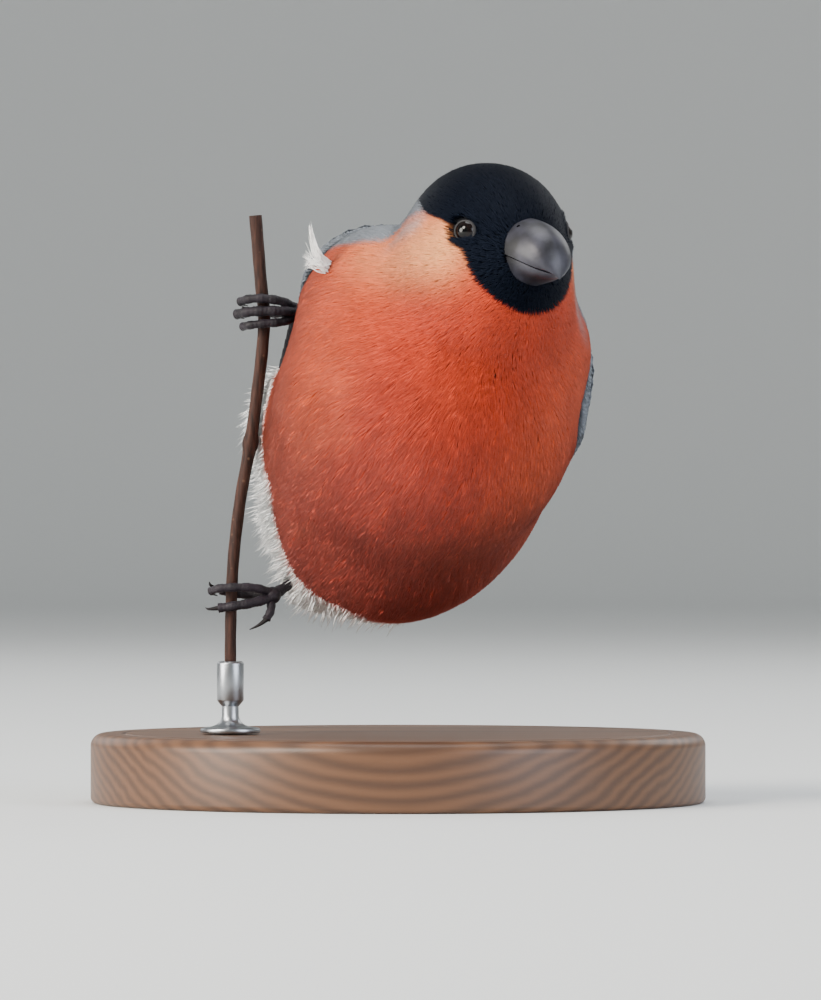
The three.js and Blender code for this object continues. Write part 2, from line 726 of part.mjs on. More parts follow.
const FINISHES = {
  black: { color: 0x11141a, roughness: 0.55 },
  red: { color: 0xd9603f, roughness: 0.9 },
  white: { color: 0xf0ece6, roughness: 0.9 },
  wing: { color: 0x171a22, roughness: 0.5 },
  bill: { color: 0x25262b, roughness: 0.35 },
  leg: { color: 0x3b2e2d, roughness: 0.6 },
  eye: { color: 0x0c0806, roughness: 0.05 },
  bark: { color: 0x6b4436, roughness: 0.8 },
  wood: { color: 0x6f4a2f, roughness: 0.5 },
  metal: { color: 0x9a9ca0, roughness: 0.3, metalness: 1 },
};

const group = new THREE.Group();

function place(name, solid, finish) {
  const geometry = solid.isBufferGeometry ? solid : geometryOf(solid);
  const mesh = new THREE.Mesh(geometry, new THREE.MeshStandardMaterial(FINISHES[finish]));
  mesh.name = name;
  group.add(mesh);
  return mesh;
}

// Body
const eyeSockets = [1, -1].map((side) => solidOf(eyeBall(side, EYE_RADIUS + GAP)));
const headWhole = solidOf(skinOf(bodyField, headPoint([0, 0, 0]), 8));
const head = headWhole.intersect(beyondNeck(HEAD_CUT + GAP / 2));
const torso = torsoWhole.subtract(beyondNeck(TORSO_CUT - GAP / 2)).subtract(behindRumpCut(-GAP / 2));
const rump = rumpWhole.intersect(behindRumpCut(GAP / 2));

const lids = [1, -1].map((side) => solidOf(lidRing(side)));
place("head", largest(cutBy(joined([head, ...lids]), eyeSockets)), "black");
place("neck", solidOf(neck()), "red");
place("torso", largest(torso), "red");
place("rump", largest(rump), "white");

// Bill and eyes
const headGrown = solidOf(skinOf(bodyField, headPoint([0, 0, 0]), 8, GAP));
const upperBill = cutBy(solidOf(mandible(culmen, 0, 1)), [headGrown, nostril(1), nostril(-1)]);
const lowerBill = cutBy(solidOf(mandible(gonys, GAP, 0.94)), [headGrown]);
place("bill_upper", largest(upperBill), "bill");
place("bill_lower", largest(lowerBill), "bill");
place("eye_left", eyeBall(1, EYE_RADIUS), "eye");
place("eye_right", eyeBall(-1, EYE_RADIUS), "eye");

// Wings and tail
const thighsGrown = ["right", "left"].map((side) => thighSkin(side, 4, GAP));
const palmBall = ({ grip, palm }, radius) => {
  const p = vec(palm).applyMatrix4(grip);
  return solidOf(new THREE.IcosahedronGeometry(radius, 1).translate(p.x, p.y, p.z));
};
const rightLegGrown = [tarsus(LEGS.right, GAP), palmBall(LEGS.right, PALM_RADIUS + 2 * GAP)];
place("wing_left", largest(cutBy(wing(1), [bodyGrown])), "wing");
place("wing_right", largest(cutBy(wing(-1), [bodyGrown, thighsGrown[0], ...rightLegGrown])), "wing");
place("tail", largest(cutBy(tail(), [bodyGrown])), "wing");

// Legs and feet
const stemGrown = solidOf(stem(14, 8, STEM_CLEARANCE));
for (const side of ["right", "left"]) {
  const leg = LEGS[side];
  place("thigh_" + side, largest(cutBy(thighSkin(side, 5, 0), [bodyGrown, stemGrown])), "white");
  const foot = joined(leg.toes.flatMap((toe) => digit(leg.grip, toe)));
  const footCutters = [bodyGrown, ...thighsGrown];
  place("foot_" + side, largest(cutBy(foot.add(palmBall(leg, PALM_RADIUS)), footCutters)), "leg");
  const legCutters = [...footCutters, palmBall(leg, PALM_RADIUS + 1.4 * GAP), foot];
  place("leg_" + side, largest(cutBy(tarsus(leg), legCutters)), "leg");
}

// Stem and stand
place("perch_stem", stem(26, 8), "bark");
place("stand_base", standBase(), "wood");
place("stand_rod", standRod(), "metal").position.set(STEM_FOOT.x, STEM_FOOT.y, ROD_BOTTOM);

export default group;
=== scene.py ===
"""A male bullfinch that clings to a cut stem on a plain turned stand, dressed for looks over its solids.

The bird's form is a soft body of ellipsoids, as in the solids. One skin lies under it, and thin solid tufts
grow from the skin along the lie of the plumage. Wing and tail feathers, bill, eyes, lids, toes, claws, stem
and stand are pieces of their own. Sizes are in millimetres until a mesh is made.
"""

import math
from contextlib import contextmanager

import bpy
import numpy as np
from mathutils import Matrix, Vector
from mathutils.kdtree import KDTree


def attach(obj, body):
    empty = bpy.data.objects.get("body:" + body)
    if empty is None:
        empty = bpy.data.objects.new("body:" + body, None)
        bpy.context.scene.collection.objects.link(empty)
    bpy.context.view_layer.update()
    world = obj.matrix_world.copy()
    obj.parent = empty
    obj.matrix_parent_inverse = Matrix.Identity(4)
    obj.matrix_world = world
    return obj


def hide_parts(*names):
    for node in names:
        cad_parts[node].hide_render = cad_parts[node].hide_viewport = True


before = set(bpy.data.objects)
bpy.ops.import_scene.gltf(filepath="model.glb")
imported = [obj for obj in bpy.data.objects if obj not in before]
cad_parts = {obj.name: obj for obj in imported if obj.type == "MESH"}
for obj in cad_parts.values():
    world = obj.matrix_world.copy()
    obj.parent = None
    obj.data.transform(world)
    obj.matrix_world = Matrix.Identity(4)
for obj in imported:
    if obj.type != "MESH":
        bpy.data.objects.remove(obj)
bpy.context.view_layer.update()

bl_info = {
    "name": "Bullfinch on a stem",
    "version": (1, 0, 0),
    "blender": (4, 5, 0),
    "location": "View3D > Sidebar > Bullfinch",
    "description": "Skin, plumage, wings, tail, bill, eyes, feet, stem, stand and studio of a bullfinch",
    "category": "Object",
}

MM = 0.001
DEG = math.pi / 180
BODY = "root"
SEED = 20
SIDES = {1: "left", -1: "right"}
COAT_SHARE = 1


# Frames: x along the bill or the body, y to the bird's left, z to its back


def turn(axis, degrees):
    return np.array(Matrix.Rotation(degrees * DEG, 3, axis))


def frame_of(rotation, place):
    made = np.eye(4)
    made[:3, :3] = rotation
    made[:3, 3] = place
    return made


def bird_frame(centre, yaw, pitch, roll):
    return frame_of(turn("Z", yaw - 90) @ turn("Y", -pitch) @ turn("X", -roll), centre)


TORSO_CENTRE = np.array([6.0, -14.0, 78.0])
HEAD_CENTRE = TORSO_CENTRE + [13.6, -25, 34.6]
TORSO = bird_frame(TORSO_CENTRE, 13.5, 22, 29)
HEAD = bird_frame(HEAD_CENTRE, 32, -4, 0)
TAIL = TORSO @ frame_of(turn("Z", 9.5) @ turn("Y", 10), [-36, -1, 4])


def into(frame_matrix, points):
    inverse = np.linalg.inv(frame_matrix)
    return np.asarray(points, float) @ inverse[:3, :3].T + inverse[:3, 3]


def out_of(frame_matrix, points):
    return np.asarray(points, float) @ frame_matrix[:3, :3].T + frame_matrix[:3, 3]


def mix(a, b, t):
    return a + (b - a) * t


def ramp(x, low, high):
    t = np.clip((np.asarray(x, float) - low) / (high - low), 0, 1)
    return t * t * (3 - 2 * t)


def unit(v):
    return v / np.maximum(np.linalg.norm(v, axis=-1, keepdims=True), 1e-9)


def waves(points, size, seed):
    """Smooth noise from -1 to 1, whose features are about `size` across."""
    rng = np.random.default_rng(seed)
    total = 0
    for _ in range(9):
        direction = unit(rng.normal(size=3)) * rng.uniform(0.6, 1.5) * math.pi / size
        total = total + np.sin(points @ direction + rng.uniform(0, 6.3))
    return total / 4.0


# The body: ellipsoids that flow into each other, as (frame, centre, radii, tilt)

TRUNK_BLOBS = [
    (TORSO, [-3, -0.7, -4], [35, 29, 33], 0),
    (TORSO, [13, -1, -5], [25, 29.5, 30], 0),
    (TORSO, [-13, 2.5, -9], [25, 25, 30], 0),
    (TORSO, [8, -1.5, 12], [26, 21.5, 20], 0),
    (TORSO, [-30, 0, 2], [22, 14, 12], 6),
    (TORSO, [15, -17, 9.5], [17, 16.5, 16.5], 0),
    (TORSO, [19, 10, 13], [14, 13.5, 14], 0),
    (TORSO, [-27, -7, -15], [16, 15, 15], 0),
    (TORSO, [31, -2, 14], [17, 17, 17], 0),
    (HEAD, [-0.5, 0.3, -0.2], [12.4, 13, 12.2], 0),
    (HEAD, [-5, -0.3, 1.6], [12.3, 13.7, 12.2], 0),
    (HEAD, [3, 0, -3], [7, 8, 8.6], 0),
    (HEAD, [-5, 0, -7], [14, 15, 13], 0),
    (HEAD, [-1, -1, -13], [11.5, 13, 10], 0),
    (TAIL, [-6, 0, 0], [22, 9, 6.5], 0),
]
THIGH_BLOBS = [
    (TORSO, [-14, -23, -7], [13, 9, 9.5], 20),
    (TORSO, [-22.5, -5, -29], [9, 8, 10], 0),
]
WING_TIP_BLOB = (TORSO, [-34, 0, 8], [34, 9, 8], 0)
BODY_BLEND = 7.0


def soft_body(blobs, blend=BODY_BLEND):
    """A function that gives points' distance to the body's surface, close enough near it."""
    shapes = []
    for place, at, radii, tilt in blobs:
        inverse = np.linalg.inv(place @ frame_of(turn("Y", -tilt), at))
        shapes.append((inverse, np.array(radii, float)))

    def distance(points):
        total = None
        for inverse, radii in shapes:
            q = (points @ inverse[:3, :3].T + inverse[:3, 3]) / radii
            k0 = np.linalg.norm(q, axis=-1)
            one = k0 * (k0 - 1) / np.maximum(np.linalg.norm(q / radii, axis=-1), 1e-9)
            if total is None:
                total = one
                continue
            h = np.maximum(blend - np.abs(total - one), 0) / blend
            total = np.minimum(total, one) - h * h * blend / 4
        return total

    return distance


def gradient(body, points):
    step = 0.05
    parts = [body(points + step * e) - body(points - step * e) for e in np.eye(3)]
    return np.stack(parts, -1) / (2 * step)


def settle(body, points, height, rounds):
    """Moves points onto the surface that lies `height` over the body's own."""
    for _ in range(rounds):
        slope = gradient(body, points)
        size = np.maximum((slope**2).sum(-1), 0.05)
        points = points - slope * ((body(points) - height) / size)[:, None]
    return points


def surface_distance(body, centre, direction):
    """How far out of each centre, along its direction, the body's surface lies."""
    step = 2
    far = np.full(len(centre), 70.0)
    moving = np.ones(len(centre), bool)
    while moving.any() and far.max() > step:
        ahead = body(centre + direction * (far - step)[:, None]) > 0
        moving &= ahead & (far > step)
        far = np.where(moving, far - step, far)
    near = far - step
    for _ in range(16):
        middle = (near + far) / 2
        outside = body(centre + direction * middle[:, None]) > 0
        far = np.where(outside, middle, far)
        near = np.where(outside, near, middle)
    return near


body_form = soft_body(TRUNK_BLOBS)
thigh_form = soft_body(THIGH_BLOBS, 1.0)
wing_bed = soft_body(TRUNK_BLOBS + [WING_TIP_BLOB])

# The stem and how high the feet grip it

STEM_RADIUS = 1.2
# To the right of the torso's centre and up from it, from the cut end down to the cup
STEM_SPOTS = [
    (-34.6, 40), (-33.4, 26), (-32.8, 20), (-33.2, 13), (-34.4, 3), (-35.6, -6),
    (-37.6, -17), (-39.0, -29), (-39.4, -37), (-39.6, -45), (-39.6, -55),
]
STEM_LINE = TORSO_CENTRE + np.array([(x, 3, z) for x, z in STEM_SPOTS])
BUD_HEIGHT = -5.5
UPPER_GRIP = 20.2
LOWER_GRIP = -35.6


def curve_through(points, count):
    """Evenly spaced points on the centripetal Catmull-Rom curve through points."""
    p = np.asarray(points, float)
    p = np.vstack([2 * p[0] - p[1], p, 2 * p[-1] - p[-2]])
    fine = []
    for i in range(1, len(p) - 2):
        p0, p1, p2, p3 = p[i - 1 : i + 3]
        a, b, c = (max(np.linalg.norm(v) ** 0.5, 1e-4) for v in (p1 - p0, p2 - p1, p3 - p2))
        m1 = ((p1 - p0) / a - (p2 - p0) / (a + b) + (p2 - p1) / b) * b
        m2 = ((p2 - p1) / b - (p3 - p1) / (b + c) + (p3 - p2) / c) * b
        t = np.linspace(0, 1, 40, endpoint=i == len(p) - 3)[:, None]
        h = [2 * t**3 - 3 * t**2 + 1, t**3 - 2 * t**2 + t, -2 * t**3 + 3 * t**2, t**3 - t**2]
        fine.append(h[0] * p1 + h[1] * m1 + h[2] * p2 + h[3] * m2)
    fine = np.vstack(fine)
    run = np.concatenate([[0], np.cumsum(np.linalg.norm(np.diff(fine, axis=0), axis=1))])
    even = np.linspace(0, run[-1], count)
    return np.stack([np.interp(even, run, fine[:, k]) for k in range(3)], -1)


STEM_CURVE = curve_through(STEM_LINE, 200)


def stem_distance(points):
    """How far points lie outside the stem."""
    heights = STEM_CURVE[::-1, 2]
    at = [np.interp(points[:, 2], heights, STEM_CURVE[::-1, k]) for k in (0, 1)]
    return np.hypot(points[:, 0] - at[0], points[:, 1] - at[1]) - STEM_RADIUS


def flesh_form(points):
    """Body and thighs as one form, kept clear of the stem."""
    a, b = body_form(points), thigh_form(points)
    h = np.maximum(4 - np.abs(a - b), 0) / 4
    joined = np.minimum(a, b) - h * h
    return np.maximum(joined, 1.0 - stem_distance(points))


# Meshes from arrays


def array_mesh(name, points, faces):
    """A smooth mesh object from points in millimetres and faces of equal length."""
    faces = np.asarray(faces, np.int32)
    mesh = bpy.data.meshes.new(name)
    mesh.vertices.add(len(points))
    mesh.vertices.foreach_set("co", (np.asarray(points) * MM).astype(np.float32).ravel())
    count, corners = faces.shape
    mesh.loops.add(count * corners)
    mesh.loops.foreach_set("vertex_index", faces.ravel())
    mesh.polygons.add(count)
    mesh.polygons.foreach_set("loop_start", np.arange(0, count * corners, corners, dtype=np.int32))
    mesh.polygons.foreach_set("use_smooth", np.ones(count, bool))
    mesh.update(calc_edges=True)
    mesh.validate()
    made = bpy.data.objects.new(name, mesh)
    bpy.context.scene.collection.objects.link(made)
    return made


def read(items, key, width, kind=np.float32):
    """One array from a mesh's items, `width` numbers for each."""
    values = np.empty(len(items) * width, kind)
    items.foreach_get(key, values)
    return values.reshape(-1, width)


def pick(piece):
    bpy.ops.object.select_all(action="DESELECT")
    bpy.context.view_layer.objects.active = piece
    piece.select_set(True)


@contextmanager
def editing(piece):
    """Edit mode, with all of one piece selected."""
    pick(piece)
    bpy.ops.object.mode_set(mode="EDIT")
    bpy.ops.mesh.select_all(action="SELECT")
    yield
    bpy.ops.object.mode_set(mode="OBJECT")


def face_out(piece):
    with editing(piece):
        bpy.ops.mesh.normals_make_consistent(inside=False)


def paint(piece, colours):
    """A colour for each point, kept as the attribute `plumage`."""
    rgba = np.concatenate([colours, np.ones((len(colours), 1))], 1).astype(np.float32)
    layer = piece.data.color_attributes.new("plumage", "FLOAT_COLOR", "POINT")
    layer.data.foreach_set("color", rgba.ravel())


def map_uv(piece, name, uv):
    """A UV map from one place for each point."""
    corners = read(piece.data.loops, "vertex_index", 1, np.int32)[:, 0]
    layer = piece.data.uv_layers.new(name=name)
    layer.data.foreach_set("uv", np.asarray(uv, np.float32)[corners].ravel())


def seat(piece, material, slot, *replaced):
    """Gives a finished piece its material, its body and the nodes that it stands for. Its slot is not used."""
    for one in material if isinstance(material, (list, tuple)) else [material]:
        piece.data.materials.append(one)
    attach(piece, BODY)
    if replaced:
        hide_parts(*replaced)
    return piece


def ring_faces(rings, count):
    """Quads between rings of `count` points each."""
    r, k = np.meshgrid(np.arange(rings - 1), np.arange(count), indexing="ij")
    a = r * count + k
    b = r * count + (k + 1) % count
    return np.stack([a, b, b + count, a + count], -1).reshape(-1, 4)


def closed_loft(rings):
    """Points and triangles of a closed body through rings of equally many points."""
    rings = np.asarray(rings)
    n, k = rings.shape[:2]
    points = np.vstack([rings.reshape(-1, 3), rings[0].mean(0), rings[-1].mean(0)])
    quads = ring_faces(n, k)
    tris = np.vstack([quads[:, [0, 1, 2]], quads[:, [0, 2, 3]]])
    start = [[(i + 1) % k, i, n * k] for i in range(k)]
    end = [[(n - 1) * k + i, (n - 1) * k + (i + 1) % k, n * k + 1] for i in range(k)]
    return points, np.vstack([tris, start, end])


def tube(points, radius, steps, sides):
    """Rings round a curve. `radius` takes the way along it and the angle from its outer side."""
    line = curve_through(points, steps + 1)
    along = unit(np.gradient(line, axis=0))
    side = unit(np.cross(along[0], [0.3, 0.2, 1.0]))
    angle = np.linspace(0, 2 * math.pi, sides, endpoint=False)
    rings = []
    for i in range(steps + 1):
        side = unit(side - along[i] * (side @ along[i]))
        other = np.cross(along[i], side)
        r = radius(i / steps, angle)
        rings.append(line[i] + (r * np.cos(angle))[:, None] * side + (r * np.sin(angle))[:, None] * other)
    return rings


def gather(parts):
    """Joins parts, each points and faces, into one of each."""
    offset, points, faces = 0, [], []
    for p, f in parts:
        points.append(p)
        faces.append(np.asarray(f) + offset)
        offset += len(p)
    return np.vstack(points), np.vstack(faces)


# Materials


def linear(hex_colour):
    """An sRGB hex colour as linear numbers."""
    values = [int(hex_colour[i : i + 2], 16) / 255 for i in (1, 3, 5)]
    bent = [v / 12.92 if v <= 0.04045 else ((v + 0.055) / 1.055) ** 2.4 for v in values]
    return (*bent, 1.0)


def plug(node, inputs):
    """Links or sets a node's inputs, by name or number."""
    for key, value in inputs.items():
        if isinstance(value, bpy.types.NodeSocket):
            node.id_data.links.new(value, node.inputs[key])
        else:
            node.inputs[key].default_value = value


def add(tree, kind, inputs=None, stops=(), **settings):
    """Adds a node with its settings, its inputs and the stops of its colour ramp."""
    node = tree.nodes.new("ShaderNode" + kind)
    for key, value in settings.items():
        setattr(node, key, value)
    for i, (position, hex_colour) in enumerate(stops):
        node.color_ramp.elements[i].position = position
        node.color_ramp.elements[i].color = linear(hex_colour)
    plug(node, inputs or {})
    return node


def new_material(name, hex_colour, **sockets):
    made = bpy.data.materials.new(name)
    made.use_nodes = True
    made.diffuse_color = linear(hex_colour)
    shader = made.node_tree.nodes["Principled BSDF"]
    plug(shader, {"Base Color": linear(hex_colour)})
    plug(shader, {key.replace("_", " "): value for key, value in sockets.items()})
    return made, made.node_tree, shader


def mottled(tree, pattern, low, high):
    """The plumage's painted colour, darker and lighter with a pattern."""
    painted = add(tree, "Attribute", attribute_name="plumage")
    shade = add(tree, "MapRange", {0: pattern, 3: low, 4: high})
    inputs = {0: 1.0, 6: painted.outputs["Color"], 7: shade.outputs[0]}
    return add(tree, "Mix", inputs, data_type="RGBA", blend_type="MULTIPLY").outputs[2]


def surface(tree, shader, colour, height, strength, distance):
    """Gives a shader its colour and a relief `distance` metres deep."""
    relief = add(tree, "Bump", {"Strength": strength, "Distance": distance, "Height": height})
    plug(shader, {"Base Color": colour, "Normal": relief.outputs["Normal"]})


def plumage_material(name, roughness, gloss, sheen):
    """Contour feathers: keratin barbs that scatter light, so matt with a soft sheen. Colour is per tuft."""
    made, tree, shader = new_material(name, "#c9603c", Roughness=roughness, Specular_IOR_Level=gloss)
    place = add(tree, "TexCoord").outputs["Object"]
    grain = add(tree, "TexNoise", {"Vector": place, "Scale": 900.0, "Detail": 2.0})
    colour = mottled(tree, grain.outputs["Fac"], 0.86, 1.14)
    plug(shader, {"Base Color": colour, "Sheen Weight": sheen, "Sheen Roughness": 0.5})
    return made


def vane_material():
    """Flight feathers: smooth dark keratin vanes whose barbs, 0.45 mm apart, catch light as fine oblique lines."""
    made, tree, shader = new_material("flight_feather_keratin", "#08090e", Roughness=0.44, Specular_IOR_Level=0.22)
    barbs = add(tree, "UVMap", uv_map="barbs").outputs["UV"]
    inputs = {"Vector": barbs, "Scale": 0.35, "Distortion": 1.2, "Detail": 1.0}
    lines = add(tree, "TexWave", inputs, wave_type="BANDS", bands_direction="X").outputs["Fac"]
    surface(tree, shader, mottled(tree, lines, 0.8, 1.2), lines, 0.2, 0.00006)
    return made


def horn_material(name, hex_low, hex_high, scale, roughness, gloss=0.36):
    """Horn: grown in thin layers, so faintly streaked, worn smooth and dull at the edges."""
    made, tree, shader = new_material(name, hex_low, Roughness=roughness, IOR=1.54, Specular_IOR_Level=gloss)
    plug(shader, {"Coat Weight": 0.22 * gloss, "Coat Roughness": 0.25})
    place = add(tree, "TexCoord").outputs["Object"]
    cloud = add(tree, "TexNoise", {"Vector": place, "Scale": scale, "Detail": 4.0})
    fine = add(tree, "TexNoise", {"Vector": place, "Scale": scale * 9, "Detail": 3.0})
    blend = add(tree, "ValToRGB", {"Fac": cloud.outputs["Fac"]}, [(0.35, hex_low), (0.72, hex_high)])
    surface(tree, shader, blend.outputs["Color"], fine.outputs["Fac"], 0.2, 0.0001)
    return made


def scale_material():
    """Leg skin: dry horny scutes with creases between them, dark and a little purple."""
    made, tree, shader = new_material("leg_scutes", "#3a2c2d", Roughness=0.5, Specular_IOR_Level=0.28)
    place = add(tree, "TexCoord").outputs["Object"]
    cells = add(tree, "TexVoronoi", {"Vector": place, "Scale": 1700.0}, feature="DISTANCE_TO_EDGE")
    crease = add(tree, "MapRange", {0: cells.outputs["Distance"], 1: 0.0, 2: 0.12, 3: 0.0, 4: 1.0})
    tone = add(tree, "TexNoise", {"Vector": place, "Scale": 260.0, "Detail": 3.0})
    blend = add(tree, "ValToRGB", {"Fac": tone.outputs["Fac"]}, [(0.3, "#0f0c11"), (0.75, "#2c252d")])
    surface(tree, shader, blend.outputs["Color"], crease.outputs[0], 0.45, 0.0001)
    return made


def bark_material():
    """Young shrub bark: thin, reddish brown, faintly ribbed along the stem and dotted with lenticels."""
    made, tree, shader = new_material("shrub_bark", "#5f3a2c", Roughness=0.72, Specular_IOR_Level=0.25)
    place = add(tree, "TexCoord").outputs["Object"]
    stretch = add(tree, "Mapping", {"Vector": place, "Scale": (1.0, 1.0, 0.16)})
    ribs = add(tree, "TexNoise", {"Vector": stretch.outputs["Vector"], "Scale": 1500.0, "Detail": 4.0}).outputs["Fac"]
    dots = add(tree, "TexVoronoi", {"Vector": place, "Scale": 420.0, "Randomness": 1.0})
    spots = add(tree, "MapRange", {0: dots.outputs["Distance"], 1: 0.06, 2: 0.16, 3: 0.7, 4: 0.0})
    wood = add(tree, "ValToRGB", {"Fac": ribs}, [(0.3, "#21130f"), (0.7, "#462b22")])
    inputs = {0: spots.outputs[0], 6: wood.outputs["Color"], 7: linear("#6b4e3d")}
    mixed = add(tree, "Mix", inputs, data_type="RGBA")
    surface(tree, shader, mixed.outputs[2], ribs, 0.6, 0.00015)
    return made


def beech_material():
    """Oiled dark beech: grain lines a millimetre or two apart along the board, with fine open pores."""
    made, tree, shader = new_material("oiled_dark_beech", "#5b3a26", Roughness=0.42)
    place = add(tree, "TexCoord").outputs["Object"]
    inputs = {"Vector": place, "Location": (0.0, -0.025, 0.085), "Scale": (0.1, 1.0, 1.0)}
    along = add(tree, "Mapping", inputs).outputs["Vector"]
    warp = add(tree, "TexNoise", {"Vector": along, "Scale": 38.0, "Detail": 3.0})
    inputs = {"Vector": along, "Scale": 135.0, "Distortion": 5.0, "Detail": 4.0, "Detail Scale": 0.7}
    grain = add(tree, "TexWave", inputs, wave_type="RINGS", rings_direction="X")
    pores = add(tree, "TexNoise", {"Vector": along, "Scale": 2200.0, "Detail": 2.0})
    tone = add(tree, "Mix", {0: 0.45, 2: grain.outputs["Fac"], 3: warp.outputs["Fac"]}, data_type="FLOAT")
    blend = add(tree, "ValToRGB", {"Fac": tone.outputs[0]}, [(0.2, "#4b3323"), (0.8, "#66462f")])
    surface(tree, shader, blend.outputs["Color"], pores.outputs["Fac"], 0.15, 0.0001)
    return made


def steel_material():
    """Turned stainless steel, brushed round the rod, so its marks run across it."""
    made, tree, shader = new_material("brushed_stainless_steel", "#9fa2a6", Metallic=1.0, Roughness=0.32)
    place = add(tree, "TexCoord").outputs["Object"]
    rings = add(tree, "Mapping", {"Vector": place, "Scale": (0.02, 0.02, 1.0)})
    marks = add(tree, "TexNoise", {"Vector": rings.outputs["Vector"], "Scale": 5200.0, "Detail": 2.0})
    rough = add(tree, "MapRange", {0: marks.outputs["Fac"], 3: 0.24, 4: 0.42})
    plug(shader, {"Roughness": rough.outputs[0]})
    return made


# Markings: colours of the plumage by place

FLOW_SOURCE = out_of(HEAD, [13.0, 0, -4.5])
COLOURS = {
    "cap": ("#070a12", "Black cap and bib"),
    "cheek": ("#ffae70", "Pale cheek behind the bill"),
    "throat": ("#c53f1f", "Red round the bib and on the upper breast"),
    "breast": ("#bd412b", "Breast and belly"),
    "breast_pale": ("#cb5b3c", "Paler patches of the breast"),
    "flank": ("#d2542b", "Flanks and sides of the neck"),
    "mantle": ("#7f868f", "Grey back and lesser coverts"),
    "white": ("#fbfaf7", "Rump, vent and thighs"),
    "flight": ("#08090e", "Flight and tail feathers"),
    "flight_brown": ("#1b1817", "Worn inner webs of the flight feathers"),
    "wing_bar": ("#a9acb0", "Tips of the greater coverts"),
}


def shades(name, count):
    chosen = getattr(bpy.context.scene.bullfinch_colours, name)
    return np.tile(np.array(chosen[:3]), (count, 1))


def laid(colour, name, share):
    """Colours with one of the plumage's own laid over them by its share."""
    return mix(colour, shades(name, len(colour)), share[:, None])


# The cap's lower edge in the head's frame, how far the black reaches and how wide it is round an eye
CAP_X = [-20, -5.6, -1.9, 2.8, 5.2, 6.0, 7.7, 9.5, 12]
CAP_Z = [10.5, 6.1, 4.0, 2.7, 1.6, 0.2, -1.4, -3.0, -7.0]
CAP_REACH = 21
BIB_RADIUS = 11.9
EYE_RING = 3.2


def cap_share(points, ragged):
    """How far points lie inside the black cap and bib, from 0 to 1, whose edge `ragged` moves out."""
    h = into(HEAD, points)
    over_line = h[:, 2] - np.interp(h[:, 0], CAP_X, CAP_Z)
    far, join = -9.0, 1.3
    bib = np.where(h[:, 0] > 3, BIB_RADIUS - np.hypot(h[:, 1], h[:, 2] + 2), far)
    near = np.linalg.norm(h, axis=1) < CAP_REACH
    inside = np.where(near, np.maximum(over_line, bib), far)
    for side in SIDES:
        centre, out = eye_place(side)
        round_eye = EYE_RING - np.linalg.norm(points - centre - out * EYE_OUT, axis=1)
        inside = np.logaddexp(join * np.maximum(inside, far), join * np.maximum(round_eye, far)) / join
    return ramp(inside + ragged, -0.3, 0.3)


def markings(points):
    """Linear colours of the plumage at points, and how far it is glossy black and white there."""
    t, h = into(TORSO, points), into(HEAD, points)
    broad, middle, streak = waves(points, 17, 3), waves(points, 7, 4), waves(t * [0.3, 1, 1], 3.4, 5)
    pale = np.clip(ramp(broad + 0.6 * middle, -0.1, 1.5) * 0.5 + ramp(streak + 0.5 * broad, 0.3, 1.8) * 0.4, 0, 1)
    colour = laid(shades("breast", len(points)), "breast_pale", pale)
    from_bib = np.linalg.norm(points - FLOW_SOURCE, axis=1) + 3 * broad
    colour = laid(colour, "throat", 0.85 * (1 - ramp(from_bib, 18, 44)))
    side = ramp(np.abs(t[:, 1]), 8, 24) * (1 - 0.5 * ramp(-t[:, 2], 14, 30))
    colour = laid(colour, "flank", 0.75 * side)
    colour = colour * (1 + 0.07 * np.clip(streak, -1.5, 1.5) + 0.04 * np.clip(middle, -1.5, 1.5))[:, None]
    way = np.clip((h[:, 0] + 12) / 16, 0, 1)
    spot = np.stack([mix(-12, 4, way), mix(18, 15.5, way), mix(-4.0, -1.8, way)], -1)
    from_cheek = np.linalg.norm(h * [1, 0, 1] + np.abs(h) * [0, 1, 0] - spot, axis=1)
    cheek = np.exp(-((from_cheek / 7.0) ** 2.4)) * mix(0.4, 1, way)
    colour = laid(colour, "cheek", 0.95 * cheek)
    back_line = 13.8 + 4.5 * ramp(t[:, 0], 28, 38) + 6.5 * ramp(t[:, 1], -15, 15)
    grey = ramp(t[:, 2] + 0.6 * middle - back_line, -1.3, 1.3)
    seam = np.exp(-(((t[:, 2] + 0.6 * middle - back_line + 2.2) / 1.8) ** 2)) * ramp(t[:, 0], 6, 14)
    colour = laid(colour, "wing_bar", 0.55 * seam * ramp(middle - broad, -0.4, 0.9))
    colour = laid(colour, "mantle", grey)
    rear_line = -24 + 9 * ramp(-t[:, 2], 18, 34) + 4 * ramp(t[:, 2], 0, 14)
    rear_line += 15 * ramp(-t[:, 1], 12, 22) * ramp(-t[:, 2], 2, 14) - 7 * ramp(t[:, 1], 6, 15)
    white = ramp(rear_line - t[:, 0] + 1.2 * middle, -2.8, 2.2)
    white = np.maximum(white, ramp(-thigh_form(points), -1.5, 0.3))
    colour = laid(colour, "white", white)
    black = cap_share(points, 0.25 * middle)
    colour = laid(colour, "cap", black)
    return colour, black, white


# Skin and coat

FLOW_SINK = out_of(TORSO, [-62.0, -2, 6])


def bill_reach(points):
    """How far points lie from the root of the bill."""
    return np.linalg.norm(points - FLOW_SOURCE, axis=1)


def coat_depth(points):
    """How deep the skin lies under the body's surface, which the tufts fill up."""
    return np.interp(bill_reach(points), [0, 8, 16, 35], [0.25, 0.5, 0.8, 1.2])


def coat_lie(points, normals):
    """The way the plumage lies: from the bill back over head, breast and back to the tail."""
    away, on = points - FLOW_SOURCE, FLOW_SINK - points
    flow = away / (away**2).sum(1, keepdims=True) + on / (on**2).sum(1, keepdims=True)
    return unit(flow - normals * (flow * normals).sum(1, keepdims=True))


FLESH = ("head", "neck", "torso", "rump", "thigh_right", "thigh_left")


